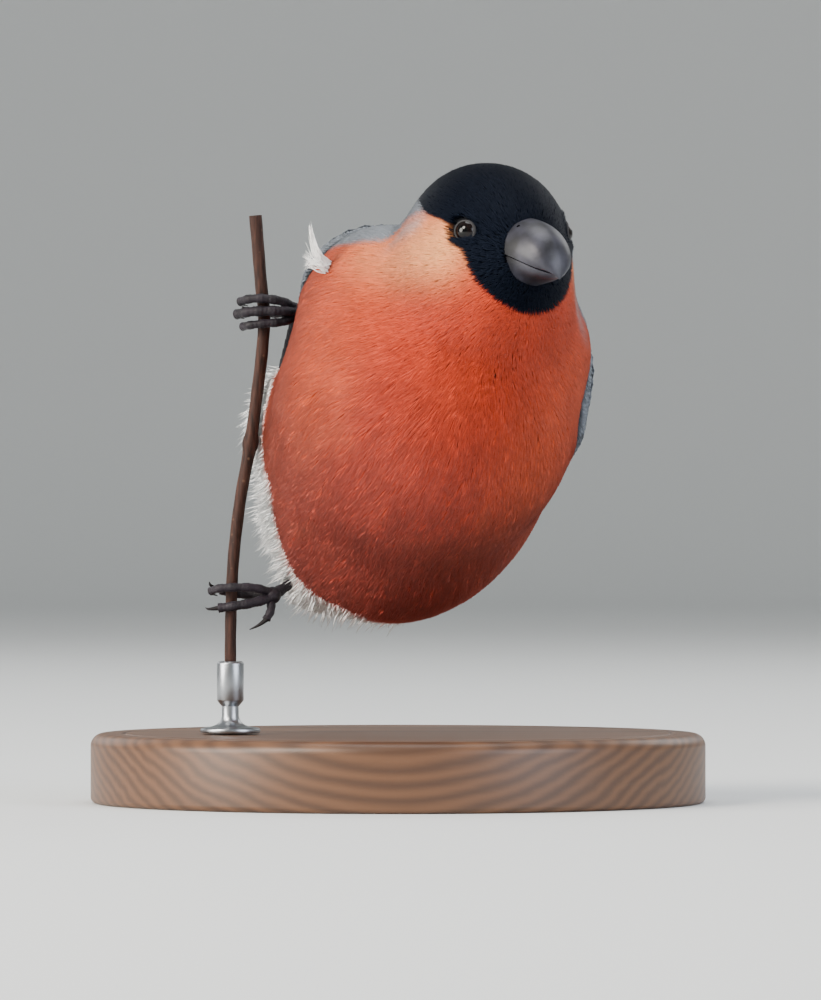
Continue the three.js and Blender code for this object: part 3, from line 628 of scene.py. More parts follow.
def grow_skin():
    """One closed skin: copies of the flesh nodes, swollen until they meet, remeshed and set under the coat."""
    copies = []
    for name in FLESH:
        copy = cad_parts[name].copy()
        copy.data = copy.data.copy()
        copy.data.materials.clear()
        bpy.context.scene.collection.objects.link(copy)
        copies.append(copy)
    skin = copies[2]
    pick(skin)
    for copy in copies:
        copy.select_set(True)
    bpy.ops.object.join()
    with editing(skin):
        bpy.ops.mesh.remove_doubles(threshold=0.00002)
    for kind, values in (
        ("DISPLACE", {"strength": 0.0007, "mid_level": 0.0}),
        ("REMESH", {"mode": "VOXEL", "voxel_size": 0.0009}),
        ("SMOOTH", {"iterations": 6}),
    ):
        modifier = skin.modifiers.new(kind.title(), kind)
        for key, value in values.items():
            setattr(modifier, key, value)
        bpy.ops.object.modifier_apply(modifier=modifier.name)
    keep_largest(skin)
    points = read(skin.data.vertices, "co", 3).astype(float) / MM
    points = settle(flesh_form, points, -coat_depth(points), 4)
    skin.data.vertices.foreach_set("co", (points * MM).astype(np.float32).ravel())
    skin.data.update()
    for layers in (skin.data.color_attributes, skin.data.uv_layers):
        for layer in list(layers):
            layers.remove(layer)
    # The skin is painted darker than the plumage over it: partly the grey of the down, partly painted shade under the
    # coat
    paint(skin, markings(points)[0] * 0.8)
    skin.data.uv_layers.new(name="OFBake")
    with editing(skin):
        bpy.ops.uv.smart_project(angle_limit=math.radians(66), island_margin=0.002)
    bpy.ops.object.shade_smooth()
    skin.name = skin.data.name = "bird_skin"
    return skin


def keep_largest(piece):
    """Drops every loose part of a mesh but its largest."""
    mesh = piece.data
    edges = read(mesh.edges, "vertices", 2, np.int32)
    label = np.arange(len(mesh.vertices))
    while True:
        low = np.minimum(label[edges[:, 0]], label[edges[:, 1]])
        after = label.copy()
        np.minimum.at(after, edges[:, 0], low)
        np.minimum.at(after, edges[:, 1], low)
        after = after[after]
        if (after == label).all():
            break
        label = after
    names, counts = np.unique(label, return_counts=True)
    if len(names) == 1:
        return
    lost = label != names[counts.argmax()]
    with editing(piece):
        bpy.ops.mesh.select_mode(type="VERT")
        bpy.ops.mesh.select_all(action="DESELECT")
    mesh.vertices.foreach_set("select", lost)
    bpy.ops.object.mode_set(mode="EDIT")
    bpy.ops.mesh.delete(type="VERT")
    bpy.ops.object.mode_set(mode="OBJECT")


def skin_roots(skin, density, rng):
    """Places all over the skin, so many to a square millimetre as `density` gives, with their UV."""
    mesh = skin.data
    mesh.calc_loop_triangles()
    tris = read(mesh.loop_triangles, "vertices", 3, np.int32)
    loops = read(mesh.loop_triangles, "loops", 3, np.int32)
    corner = (read(mesh.vertices, "co", 3).astype(float) / MM)[tris]
    corner_uv = read(mesh.uv_layers["OFBake"].data, "uv", 2)[loops]
    area = np.linalg.norm(np.cross(corner[:, 1] - corner[:, 0], corner[:, 2] - corner[:, 0]), axis=1) / 2
    wanted = area * density(corner.mean(1))
    count = np.floor(wanted + rng.random(len(wanted))).astype(int)
    which = np.repeat(np.arange(len(count)), count)
    a, b = rng.random(len(which)), rng.random(len(which))
    over = a + b > 1
    a, b = np.where(over, 1 - a, a), np.where(over, 1 - b, b)
    share = np.stack([1 - a - b, a, b], -1)[:, :, None]
    return (corner[which] * share).sum(1), (corner_uv[which] * share).sum(1)


# Tufts sown for each that the setting asks for, the most that the body keeps, and how many a wing has
SOWN = 1.6
MOST_TUFTS = 220000
WING_TUFTS = 15000
TUFTS_PER_FEATHER = 60
# How far tufts stay clear of the stem, and their tips and middles of a leg's axis
STEM_CLEARANCE = 0.25
TIP_CLEARANCE = 2.8
MIDDLE_CLEARANCE = 2.0
COAT_PARTS = ["face", "crown", "nape", "throat", "breast", "shoulders", "flanks", "belly", "rump"]
# A tuft is a root, a triangle at its middle with its flat side out, and a tip. Spots are its points' places
# on the baked map beside its root's, and tones are their brightness, on the body and on a wing: darker at the
# root, partly for the feathers' grey bases and partly as painted shade, and darker at the keel under the middle
# as painted shade
TUFT_FACES = np.array([[0, 2, 1], [0, 1, 3], [0, 3, 2], [4, 1, 2], [4, 3, 1], [4, 2, 3]])
TUFT_SPOTS = np.array([[0, -1], [0.5, 0], [-0.5, 0], [0, 0], [0, 1]]) * 0.0015
TUFT_GREY_BASE_AND_SHADE = np.array([0.7, 0.95, 0.95, 0.8, 1.06])
WING_TUFT_GREY_BASE_AND_SHADE = np.array([0.6, 0.9, 0.9, 0.7, 1.1])


def tuft_points(root, middle, tip, across, normals, half, keel):
    """The five points of each tuft, `half` wide to each side and `keel` times that deep."""
    return np.stack([root, middle + across * half, middle - across * half, middle - normals * half * keel, tip], 1)


def tuft_piece(name, points, tints, places):
    """One mesh of tufts with their colours and their places in the baked map."""
    faces = (TUFT_FACES[None] + np.arange(len(points))[:, None, None] * 5).reshape(-1, 3)
    piece = array_mesh(name, points.reshape(-1, 3), faces)
    paint(piece, tints.reshape(-1, 3))
    map_uv(piece, "OFBake", (places[:, None, :] + TUFT_SPOTS[None]).reshape(-1, 2))
    return piece


def wing_axis(x):
    """How far over the torso's own axis the rays of the wings' lines start."""
    return 9 * ramp(-x, 0, 50)


def wing_angle(points):
    """Points in the torso's frame, and the angle of each as the lines of the wings count it."""
    t = into(TORSO, points)
    lift = np.where(t[:, 1] > 0, WING_LIFT[1], WING_LIFT[-1])
    return t, np.degrees(np.arctan2(t[:, 2] - wing_axis(t[:, 0]), np.abs(t[:, 1]))) - lift


def under_wing(points):
    """True where a folded wing covers the body, so that no tuft is needed."""
    t, angle = wing_angle(points)
    low, high = line_angle(0.0, t[:, 0]) + 4, line_angle(1.0, t[:, 0]) - 4
    return (t[:, 0] > -44) & (t[:, 0] < 10) & (angle > low) & (angle < high)


def wing_edge(points):
    """Near 1 just below a folded wing, where the feathers of the flank lie over its edge."""
    t, angle = wing_angle(points)
    off = angle - line_angle(0.0, t[:, 0])
    return np.exp(-(((off + 3) / 7) ** 2)) * ramp(t[:, 0], -20, -10) * ramp(-t[:, 0], -22, -14)


def coat_density(points, per_mm2):
    """How many tufts to sow on a square millimetre: fewer further back, none where wing, bill or eye is."""
    wanted = np.interp(bill_reach(points), [0, 14, 26, 40], [1.0, 0.95, 0.72, 0.5]) * per_mm2 * SOWN
    wanted = wanted * (1 + 0.7 * markings(points)[2]) * COAT_SHARE
    h = into(HEAD, points)
    bare = under_wing(points) | (h[:, 0] > BILL["root"] + 1) & (np.hypot(h[:, 1], h[:, 2] + 2.5) < 5.2)
    for side in SIDES:
        bare |= np.linalg.norm(points - eye_place(side)[0], axis=1) < EYE_RADIUS * 0.98
    return np.where(bare, 0, wanted)


def by_feather(roots, across, rng):
    """Shares tufts out to feathers: how far aside each one's feather lies, and how light that feather is."""
    chosen = rng.choice(len(roots), len(roots) // TUFTS_PER_FEATHER, replace=False)
    feathers = KDTree(len(chosen))
    for i, k in enumerate(chosen):
        feathers.insert(roots[k], i)
    feathers.balance()
    owner = np.array([feathers.find(p)[1] for p in roots])
    lean = ((roots[chosen][owner] - roots) * across).sum(1)
    return lean, rng.uniform(-1, 1, len(chosen))[owner]


def coat_lift(roots, white, fluff, rng):
    """How high tips stand over the body's surface: down fluffs up, and a wing's or an eye's edge is covered."""
    n, reach = len(roots), bill_reach(roots)
    rough = 0.06 * rng.normal(size=n) * np.minimum(coat_depth(roots), 1)
    lift = 0.02 + rough + 0.06 * waves(roots, 5, 13) * ramp(reach, 14, 34)
    down = 0.3 * rng.random(n) * fluff + np.maximum(rng.normal(size=n) - 1.1, 0) * 0.7 * fluff
    lift = lift + white * ramp(reach, 30, 50) * down + 0.9 * wing_edge(roots)
    for side in SIDES:
        from_eye = np.linalg.norm(roots - eye_place(side)[0], axis=1)
        lift = lift + 0.4 * np.exp(-(((from_eye - 3.1) / 0.6) ** 2))
    return lift


def clear_of_perch(tip, middle):
    """True for tufts that touch neither the stem nor a leg."""
    keep = (stem_distance(tip) > STEM_CLEARANCE) & (stem_distance(middle) > STEM_CLEARANCE)
    for name in FEET:
        foot, hock = leg_ends(name)
        leg = hock - foot
        for p, clear in ((tip, TIP_CLEARANCE), (middle, MIDDLE_CLEARANCE)):
            way = np.clip((p - foot) @ leg / (leg @ leg), 0, 1)
            away = np.linalg.norm(p - foot - way[:, None] * leg, axis=1)
            keep &= away > clear * (1 - ramp(way, 0.75, 1))
    return keep


def coat_tints(roots, colours, black, white, value, rng):
    """A colour for each point of each tuft: dark at the root, partly grey feather bases and partly painted shade,
    painted shade at the keel, light at the tip, now and then bleached.
    """
    n = len(roots)
    tone = (1 + 0.04 * value + 0.07 * rng.normal(size=n)) * (1 - 0.3 * white) + 0.33 * white
    bleached = (rng.random(n) < 0.08) * (1 - white) * (1 - black) * (1 - ramp(-bill_reach(roots), -20, -12))
    colours = mix(colours, np.minimum(colours * 1.35 + 0.03, 1), 0.35 * bleached[:, None])
    glow = np.clip(waves(roots, 2.2, 14), -1, 1) * 0.04
    base = np.clip(colours * (tone + glow)[:, None], 0, 1)
    # Painted shade: the root and the keel under each tuft's middle are darker, the root partly for the feathers' grey
    # bases; white down less so
    base_and_shade = 1 + (TUFT_GREY_BASE_AND_SHADE - 1)[None] * (1 - 0.6 * white)[:, None]
    return np.clip(base[:, None, :] * base_and_shade[:, :, None], 0, 1)


def grow_coat(skin, sizes):
    """Closed thin tufts all over the skin, each from root to middle to tip, lying back over the next ones."""
    rng = np.random.default_rng(SEED)
    roots, uv = skin_roots(skin, lambda points: coat_density(points, sizes.tufts_per_mm2), rng)
    few = rng.permutation(len(roots))[:MOST_TUFTS]
    roots, uv = roots[few], uv[few]
    n, reach = len(roots), bill_reach(roots)
    normals = unit(gradient(flesh_form, roots))
    lie = coat_lie(roots, normals)
    across = np.cross(normals, lie)
    sway = 0.08 * rng.normal(size=n) + 0.10 * waves(roots, 9, 11) + 0.05 * waves(roots, 3, 12)
    lie = unit(lie + across * sway[:, None])
    across = np.cross(normals, lie)
    length = np.interp(reach, [0, 6, 14, 24, 40, 80], [1.0, 1.6, 2.5, 3.8, 6.0, 7.2])
    length = length * sizes.tuft_length * rng.uniform(0.8, 1.2, n)
    width = np.interp(length, [1, 2.4, 6], [0.17, 0.22, 0.33]) * sizes.tuft_width
    colours, black, white = markings(roots + lie * np.minimum(length, 3)[:, None] * 0.4)
    length = length * (1 - 0.2 * white)
    width = width * (1 - 0.34 * white)
    lean, value = by_feather(roots, across, rng)
    lift = coat_lift(roots, white, sizes.fluff, rng)
    pull = lean * mix(0.08, 0.26, ramp(reach, 14, 34)) * (1 - 0.7 * white)
    middle = roots + lie * (0.5 * length)[:, None] + across * (0.3 * pull)[:, None]
    middle = settle(flesh_form, middle, -0.22 * coat_depth(roots) + 0.4 * np.maximum(lift, 0), 2)
    tip = roots + lie * length[:, None] + across * pull[:, None]
    tip = settle(flesh_form, tip, lift, 2)
    points = tuft_points(roots, middle, tip, across, normals, (width / 2)[:, None], 0.7)
    tints = coat_tints(roots, colours, black, white, value, rng)
    order = np.argsort(reach)
    order = order[clear_of_perch(tip, middle)[order]]
    soft_plumage = plumage_material("contour_feather_barbs", 0.85, 0.15, 0.04)
    cap_plumage = plumage_material("glossy_cap_barbs", 0.6, 0.13, 0.0)
    plug(cap_plumage.node_tree.nodes["Principled BSDF"], {"Specular Tint": linear("#a9c4ff")})
    for name, group in zip(COAT_PARTS, np.array_split(order, len(COAT_PARTS))):
        piece = tuft_piece("coat_" + name, points[group], tints[group], uv[group])
        seat(piece, [soft_plumage, cap_plumage], "plumage_red")
        glossy = np.repeat((black[group] > 0.5).astype(np.int32), len(TUFT_FACES))
        piece.data.polygons.foreach_set("material_index", glossy)


# The loose feather's depth, its root, and the bend and the end of its upright and of its flat barbs,
# each a place and its spread
LOOSE_DEPTH = -33.6
LOOSE_ROOT = np.array([-13.6, LOOSE_DEPTH + 1.6, 106.8])
LOOSE_UPRIGHT = (
    (np.array([-15.9, LOOSE_DEPTH - 0.4, 109.8]), [0.4, 0.4, 0.4]),
    (np.array([-17.3, LOOSE_DEPTH + 0.4, 113.9]), [0.2, 0.4, 1.0]),
)
LOOSE_FLAT = (
    (np.array([-15.8, LOOSE_DEPTH - 0.5, 107.6]), [0.5, 0.5, 0.6]),
    (np.array([-18.2, LOOSE_DEPTH + 0.3, 108.6]), [0.4, 0.7, 1.3]),
)


def loose_feather():
    """A white down feather that has worked loose at the right shoulder and curls up."""
    rng = np.random.default_rng(41)
    parts = []
    for i in range(110):
        start = LOOSE_ROOT + rng.normal(size=3) * [0.8, 0.5, 0.8]
        (bend, bend_spread), (end, end_spread) = LOOSE_UPRIGHT if i % 5 < 3 else LOOSE_FLAT
        bend = bend + rng.normal(size=3) * bend_spread
        end = end + rng.normal(size=3) * end_spread
        line = np.array([start, (start + bend) / 2 + [0, -0.3, -0.1], bend, (bend + end) / 2 + [-0.2, 0, 0.1], end])
        parts.append(closed_loft(tube(line, lambda t, a: 0.15 * (1 - 0.9 * t) + 0 * a, 10, 5)))
    points, faces = gather(parts)
    piece = array_mesh("loose_down_feather", points, faces)
    face_out(piece)
    paint(piece, shades("white", len(points)) * 0.97)
    seat(piece, bpy.data.materials["contour_feather_barbs"], "plumage_white")


# Feathers of wings and tail

VANE_THICKNESS = 0.16


def feather(place, width, steps=16, across=8, rounding=0.76, seed=0):
    """A closed vane with a raised shaft. Gives its points, faces, barb UV and where each point lies on it."""
    rng = np.random.default_rng(seed)
    t = 1 - (1 - np.linspace(0, 1, steps + 1)) ** 1.3
    blunt = np.sqrt(1 - np.clip((t - rounding) / (1 - rounding), 0, 0.985) ** 2)
    half = width / 2 * mix(0.7, 1, ramp(t * 3, 0, 1)) * blunt
    s = np.linspace(-1, 1, across + 1)
    nick = 1 + 0.05 * rng.normal(size=(steps + 1, 1)) * (np.abs(s) > 0.99)
    nick[[0, -1]] = 1
    y = half[:, None] * s * nick
    tt = np.repeat(t[:, None], across + 1, 1)
    ss = np.repeat(s[None], steps + 1, 0)
    shaft = 0.14 * np.exp(-((y / 0.28) ** 2)) * (1 - 0.7 * tt)
    crown = shaft - 0.22 * ss**2
    top = place(tt.ravel(), y.ravel(), crown.ravel())
    low = place(tt.ravel(), y.ravel(), (crown - VANE_THICKNESS * (1 - 0.5 * np.abs(ss))).ravel())
    points = np.vstack([top, low])
    count = across + 1
    r, k = np.meshgrid(np.arange(steps), np.arange(across), indexing="ij")
    a = (r * count + k).ravel()
    upper = np.stack([a, a + count, a + count + 1, a + 1], -1)
    lower = upper[:, ::-1] + len(top)
    rim = np.concatenate(
        [
            np.arange(0, count),
            np.arange(1, steps + 1) * count + across,
            np.arange(count - 2, -1, -1) + steps * count,
            np.arange(steps - 1, 0, -1) * count,
        ]
    )
    after = np.roll(rim, -1)
    wall = np.stack([rim, after, after + len(top), rim + len(top)], -1)
    reach = np.linalg.norm(np.diff(top.reshape(steps + 1, count, 3)[:, across // 2], axis=0), axis=1).sum()
    barbs = np.stack([tt * reach - 1.3 * np.abs(y), y], -1).reshape(-1, 2)
    spots = np.stack([tt, ss], -1).reshape(-1, 2)
    return points, np.vstack([upper, lower, wall]), np.vstack([barbs, barbs]), np.vstack([spots, spots])


def feather_piece(name, vanes, slot, *replaced):
    """One piece of many vanes, each (feather, colour function)."""
    points, faces = gather([(v[0][0], v[0][1]) for v in vanes])
    piece = array_mesh(name, points, faces)
    paint(piece, np.clip(np.vstack([colour(f[3]) for f, colour in vanes]), 0, 1))
    map_uv(piece, "barbs", np.vstack([v[0][2] for v in vanes]))
    face_out(piece)
    material = bpy.data.materials.get("flight_feather_keratin") or vane_material()
    return seat(piece, material, slot, *replaced)


# How many degrees each wing is turned up round the body, and how far back the feathers of nine lines end
WING_LIFT = {1: 0.0, -1: 5.0}
FLIGHT_TIPS = [-60, -57.5, -54, -50, -46, -42, -39, -33, -24]
COVERT_TIPS = [-17, -19, -21, -22, -22.5, -23, -23, -22, -20]


def line_angle(share, x):
    """The angle of a line along the wing, from its lowest, 0, to its highest, 1."""
    back = ramp(-np.asarray(x, float), -8, 60)
    return mix(mix(12, 61, share), mix(37, 70, share), back)


def wing_ray(side, x, angle):
    """Rays out of the body at angles along a wing: start, direction and length to the wing's bed."""
    a = (angle + WING_LIFT[side]) * DEG
    axis = out_of(TORSO, np.stack([x, 0 * x, wing_axis(x)], -1))
    out = np.stack([0 * a, side * np.cos(a), np.sin(a)], -1) @ TORSO[:3, :3].T
    return axis, out, surface_distance(wing_bed, axis, out)


def wing_point(side, x, angle, height):
    """Points over a wing's bed."""
    axis, out, radius = wing_ray(side, x, angle)
    return axis + out * (radius + height)[:, None]


def line_vane(side, share, root, tip, width, height, seed, tilt=0.2, **more):
    """A feather along one line of the wing, its lower edge tilted up over the next one."""

    def place(t, across, out):
        x = mix(root, tip, t)
        angle = line_angle(share, x)
        _, _, radius = wing_ray(side, x, angle)
        shift = across / radius / DEG
        return wing_point(side, x, angle + shift, height(t, x) - tilt * across + out)

    return feather(place, width, seed=seed, **more)


def dark_web(spots):
    """Flight feathers: purplish black, browner towards the hidden edge, with a thin pale outer edge."""
    base = laid(shades("flight", len(spots)), "flight_brown", 0.5 * ramp(spots[:, 1], -0.2, 0.9))
    edge = ramp(-spots[:, 1], 0.9, 1.0) * ramp(spots[:, 0], 0.3, 0.6)
    return laid(base, "mantle", 0.35 * edge)


def tipped_web(spots):
    """Greater coverts: black with a broad pale tip, which makes the wing bar."""
    pale = ramp(spots[:, 0] + 0.06 * np.abs(spots[:, 1]), 0.84, 0.9)
    return laid(shades("flight", len(spots)), "wing_bar", pale)


def grey_web(spots):
    # Painted shade: darker towards the root and the sides, where the next coverts lie over it
    tone = 0.62 + 0.35 * spots[:, :1] - 0.1 * np.abs(spots[:, 1:])
    return shades("mantle", len(spots)) * tone


def red_web(spots):
    """The smallest tertial: its outer web is red."""
    red = ramp(-spots[:, 1], 0.45, 0.75) * ramp(spots[:, 0], 0.3, 0.5)
    return laid(shades("flight", len(spots)), "breast", 0.6 * red)


def stack_height(share, x):
    """How high the flight feathers lie, where each has those of the lower lines under it."""
    return mix(0.8, 1.6, ramp(-x, 6, 26)) + share * 8 * 0.32 * ramp(-x, 16, 46)


def pad_height(x, share):
    """How high the base of the wing lies over its bed."""
    dome = np.sin(math.pi * mix(0.15, 0.85, share)) * ramp(x, -4, 4)
    return 1.0 + 1.3 * dome


def tucked(share, x):
    """How far the front of the greater coverts sinks under the shoulder's feathers."""
    return (0.35 + 0.45 * ramp(share, 0.65, 1)) * ramp(x, -19, -6)


def grow_wing(side, sizes):
    """Base, flight feathers, greater coverts with the pale bar, and rows of small grey coverts on top."""
    vanes = []
    flights = int(sizes.flight_feathers)
    for i in range(flights):
        share = i / (flights - 1)
        tip = np.interp(share * 8, range(9), FLIGHT_TIPS)
        colour = red_web if i == flights - 1 else dark_web
        height = lambda t, x, s=share: stack_height(s, x) + 0.1
        vanes.append((line_vane(side, share, -7, tip, 5.0, height, i), colour))
    coverts = flights - 2
    for i in range(coverts):
        share = i / (coverts - 1)
        tip = np.interp(share * 8, range(9), COVERT_TIPS)
        height = lambda t, x, s=share: stack_height(s, x) + 0.75 - 0.9 * (1 - t) ** 3 - tucked(s, x)
        vanes.append((line_vane(side, share, 6, tip, 5.2, height, 40 + i, steps=12), tipped_web))
    rng = np.random.default_rng(5)
    for row, (front, back, count) in enumerate([(5.0, -6.5, 10), (9.5, -1.0, 10), (13.0, 4.0, 8), (15.0, 8.5, 6)]):
        for i in range(count):
            share = mix(0.04 + 0.05 * row, 0.96 - 0.05 * row, (i + 0.5 * (row % 2)) / (count - 0.5))
            start, end = front + rng.uniform(-0.5, 0.5), back + rng.uniform(-0.5, 0.5)
            height = lambda t, x, s=share, r=row: pad_height(x, s) - 0.4 + 0.05 * r - 0.3 * (1 - t) ** 2
            width = 5.4 - 0.5 * row
            vane = line_vane(side, share, start, end, width, height, 80 + i, 0.06, steps=8, across=6, rounding=0.55)
            vanes.append((vane, grey_web))
    name = SIDES[side]
    feather_piece("wing_" + name + "_feathers", vanes, "flight_feathers", "wing_" + name)
    wing_base(side, name)
    wing_down(side, name)


def wing_down(side, name):
    """Soft grey tufts over the lesser coverts, which join the wing to the shoulder's plumage."""
    rng = np.random.default_rng(9 + side)
    n = int(WING_TUFTS * COAT_SHARE)
    scapular = rng.random(n) < 0.3
    x = np.where(scapular, rng.uniform(-13, 19, n), rng.uniform(-7.5, 19, n))
    share = rng.uniform(-0.12, 1.14, n)
    narrow = np.sqrt(1 - (1 - np.clip((18 - x) / 10, 0, 1)) ** 2)
    share = np.where(scapular, rng.uniform(0.8, 1.24, n), 0.5 + (share - 0.5) * mix(0.6, 1, narrow))
    length = rng.uniform(3.6, 5.4, n) + 2.4 * scapular

    def at(x, share, height):
        front = np.sqrt(1 - (1 - np.clip((16 - x) / 12, 0, 1)) ** 2)
        over = np.maximum(np.abs(share - 0.5) - 0.5, 0) * mix(9.0, 15.0, share > 0.5)
        under = np.maximum(pad_height(x, np.clip(share, 0, 1)), (1.7 - tucked(1.0, x)) * scapular)
        under = np.maximum(under, 1.3 * ramp(-x, 1, 7))
        return wing_point(side, x, line_angle(share, x), np.maximum(under * front - over, -0.4) + height)

    drift = rng.normal(size=n) * 0.02
    root = at(x, share, -0.3 - 0.5 * scapular)
    middle = at(x - 0.5 * length, share + 0.5 * drift, 0.5 + 0.1 * rng.normal(size=n))
    tip = at(x - length, share + drift - 0.01, 0.55 + 0.12 * rng.normal(size=n))
    lie = unit(tip - root)
    normals = unit(gradient(wing_bed, root))
    across = unit(np.cross(normals, lie))
    points = tuft_points(root, middle, tip, across, normals, rng.uniform(0.14, 0.2, n)[:, None], 0.8)
    tone = (0.95 + 0.09 * rng.normal(size=n) + 0.05 * waves(root, 2.5, 21))[:, None, None]
    # Painted shade: each tuft is darker at its root and its keel, the root partly for the feathers' grey bases
    base = shades("mantle", n)[:, None, :] * tone * WING_TUFT_GREY_BASE_AND_SHADE[None, :, None]
    places = np.stack([(x + 5) / 22, 0.5 + 0.4 * (share - 0.5)], -1)
    piece = tuft_piece("coat_wing_" + name, points, np.clip(base, 0, 1), places)
    seat(piece, bpy.data.materials["contour_feather_barbs"], "plumage_black")


def wing_base(side, name):
    """The solid under the coverts, low and rounded at the front, thin at the back."""
    steps, across = 22, 12
    rings = []
    for i in range(steps + 1):
        x = mix(15.0, -50.0, (i / steps) ** 1.2)
        narrow = math.sqrt(1 - (1 - min((16 - x) / 12, 1)) ** 2)
        s = np.linspace(0, 1, across + 1)
        low, high = (11.0, 61.0) if x > 8 else (line_angle(0.0, x), line_angle(1.0, x))
        angle = mix((low + high) / 2, mix(low, high, s), narrow)
        xs = np.full(across + 1, x)
        rise = ramp(-x, 16, 46) * s * 2.0
        top = wing_point(side, xs, angle, pad_height(x, s) * (0.75 if x < 4 else 1.0) * narrow + rise)
        low_side = wing_point(side, xs, angle, -0.2 + 0 * s + rise * (x < -24))
        rings.append(np.vstack([top, low_side[::-1]]))
    points, faces = closed_loft(rings)
    piece = array_mesh("wing_" + name + "_base", points, faces)
    # Painted shade: the base is painted a darker grey than the mantle because it lies under the coverts
    paint(piece, shades("mantle", len(points)) * 0.75)
    face_out(piece)
    seat(piece, bpy.data.materials["contour_feather_barbs"], "plumage_black")


def grow_tail():
    """Six pairs of feathers, the middle pair on top, with black coverts over their roots."""
    vanes = []
    for i in range(6):
        for side in SIDES:
            reach = 62 - 4 * math.cos(math.pi / 2 * (i / 5)) - 1.5 * max(i - 4, 0)

            def place(t, across, out, i=i, side=side, reach=reach):
                y = side * (2.4 * mix(0.4, 1, t) + i * 0.8 * mix(0.35, 1, t) + i * 0.9 * t) + across
                z = -0.5 * (i + (0 if side > 0 else 0.5)) + out - 0.02 * np.abs(y) ** 1.3
                return out_of(TAIL, np.stack([-reach * t, y, z], -1))

            vane = feather(place, 8 - 0.25 * i, steps=22, across=10, seed=200 + 2 * i + (side > 0))
            vanes.append((vane, dark_web))
    for i in range(9):
        y0 = (i - 4) * 1.5

        def cover(t, across, out, y0=y0, i=i):
            x = mix(2.0, -17.0 - 2 * math.cos(y0 / 3), t)
            y = y0 * mix(0.7, 1, t) + across
            rise = mix(4.4, 0.7, ramp(t, 0, 0.9)) - 0.05 * y**2 * (1 - 0.5 * t) + 0.1 * (i % 2)
            return out_of(TAIL, np.stack([x, y, rise + out], -1))

        vanes.append((feather(cover, 5.5, steps=10, seed=240 + i, rounding=0.6), dark_web))
    return feather_piece("tail_feathers", vanes, "flight_feathers", "tail")


# Bill

BILL = {
    "root": 8.5,
    "culmen_foot": 9.6,
    "culmen_height": 4.3,
    "tip": 23.0,
    "tip_height": -7.2,
    "gape_height": -2.3,
    "edge_tip": 22.2,
    "edge_tip_height": -5.9,
    "half_width": 6.3,
    "chin_height": -9.2,
}


def culmen(u):
    """The upper bill's ridge from forehead to tip: forward and up in the head's frame."""
    a = mix(4, 90, u) * DEG
    x = BILL["culmen_foot"] + (BILL["tip"] - BILL["culmen_foot"]) * math.sin(a) ** 0.88
    return x, BILL["tip_height"] + (BILL["culmen_height"] - BILL["tip_height"]) * max(math.cos(a), 0) ** 0.8


def gonys(u):
    """The lower bill's ridge from chin to tip."""
    x = mix(BILL["root"], BILL["edge_tip"] - 1.2, u)
    return x, mix(BILL["chin_height"], BILL["edge_tip_height"] - 1.1, 1 - math.cos(u * math.pi / 2))


def mandible(name, ridge, drop, narrowing, material, node):
    """Half a bill: arches from edge to ridge, closed by a floor between the cutting edges."""
    stations, arch = 40, 33
    rings = []
    for i in range(stations):
        u = 1 - (1 - i / (stations - 1)) ** 1.35
        edge_x = mix(BILL["root"], BILL["edge_tip"], u)
        edge_z = mix(BILL["gape_height"], BILL["edge_tip_height"], u**1.7) - drop
        ridge_x, ridge_z = ridge(u)
        width = BILL["half_width"] * math.sqrt(max(1 - u**2.7, 0.0015)) * narrowing
        a = np.linspace(0, math.pi, arch)
        lift = np.sin(a) ** 0.85
        keel = 0.16 * np.exp(-(((a - math.pi / 2) / 0.2) ** 2)) * (1 - u)
        lip = 0.12 * np.exp(-((np.minimum(a, math.pi - a) / 0.22) ** 2)) * (1 - u)
        ring = np.stack(
            [
                mix(edge_x, ridge_x, lift),
                (width + lip) * np.cos(a),
                mix(edge_z, ridge_z, lift) + (keel if ridge is culmen else -keel),
            ],
            -1,
        )
        rings.append(out_of(HEAD, ring))
    points, faces = closed_loft(rings)
    piece = array_mesh(name, points, faces)
    face_out(piece)
    bpy.ops.object.shade_smooth_by_angle(angle=math.radians(50))
    return seat(piece, material, "bill_horn", node)


def nostril_pits(bill):
    """Two round nostrils sunk into the upper bill beside its root."""
    for side in SIDES:
        place = out_of(HEAD, [13.2, side * 3.4, 2.3]) * MM
        bpy.ops.object.select_all(action="DESELECT")
        bpy.ops.mesh.primitive_uv_sphere_add(segments=24, ring_count=12, radius=0.75 * MM, location=place)
        cutter = bpy.context.active_object
        cut = bill.modifiers.new("nostril", "BOOLEAN")
        cut.operation = "DIFFERENCE"
        cut.solver = "EXACT"
        cut.object = cutter
        bpy.context.view_layer.objects.active = bill
        bpy.ops.object.modifier_apply(modifier=cut.name)
        bpy.data.objects.remove(cutter)


# Eyes

EYE_RADIUS = 2.6
# How deep the ball's centre lies under the face, and its axis to the side and up in degrees
EYE_OUT = 1.9
EYE_SIDEWAYS = 60
EYE_UP = 6
PUPIL_ANGLE = 0.42
IRIS_ANGLE = 0.95
LID_RADIUS = 2.02
LID_THICKNESS = 0.27


def eye_place(side):
    """The centre of an eyeball and the direction that the eye looks in."""
    a, h = EYE_SIDEWAYS * DEG, EYE_UP * DEG
    out = np.array([math.cos(h) * math.cos(a), side * math.cos(h) * math.sin(a), math.sin(h)]) @ HEAD[:3, :3].T
    rim = surface_distance(body_form, HEAD_CENTRE[None], out[None])[0]
    return HEAD_CENTRE + out * (rim - EYE_OUT), out


def facing(out):
    return Vector(out).to_track_quat("Z", "Y").to_matrix().to_4x4()


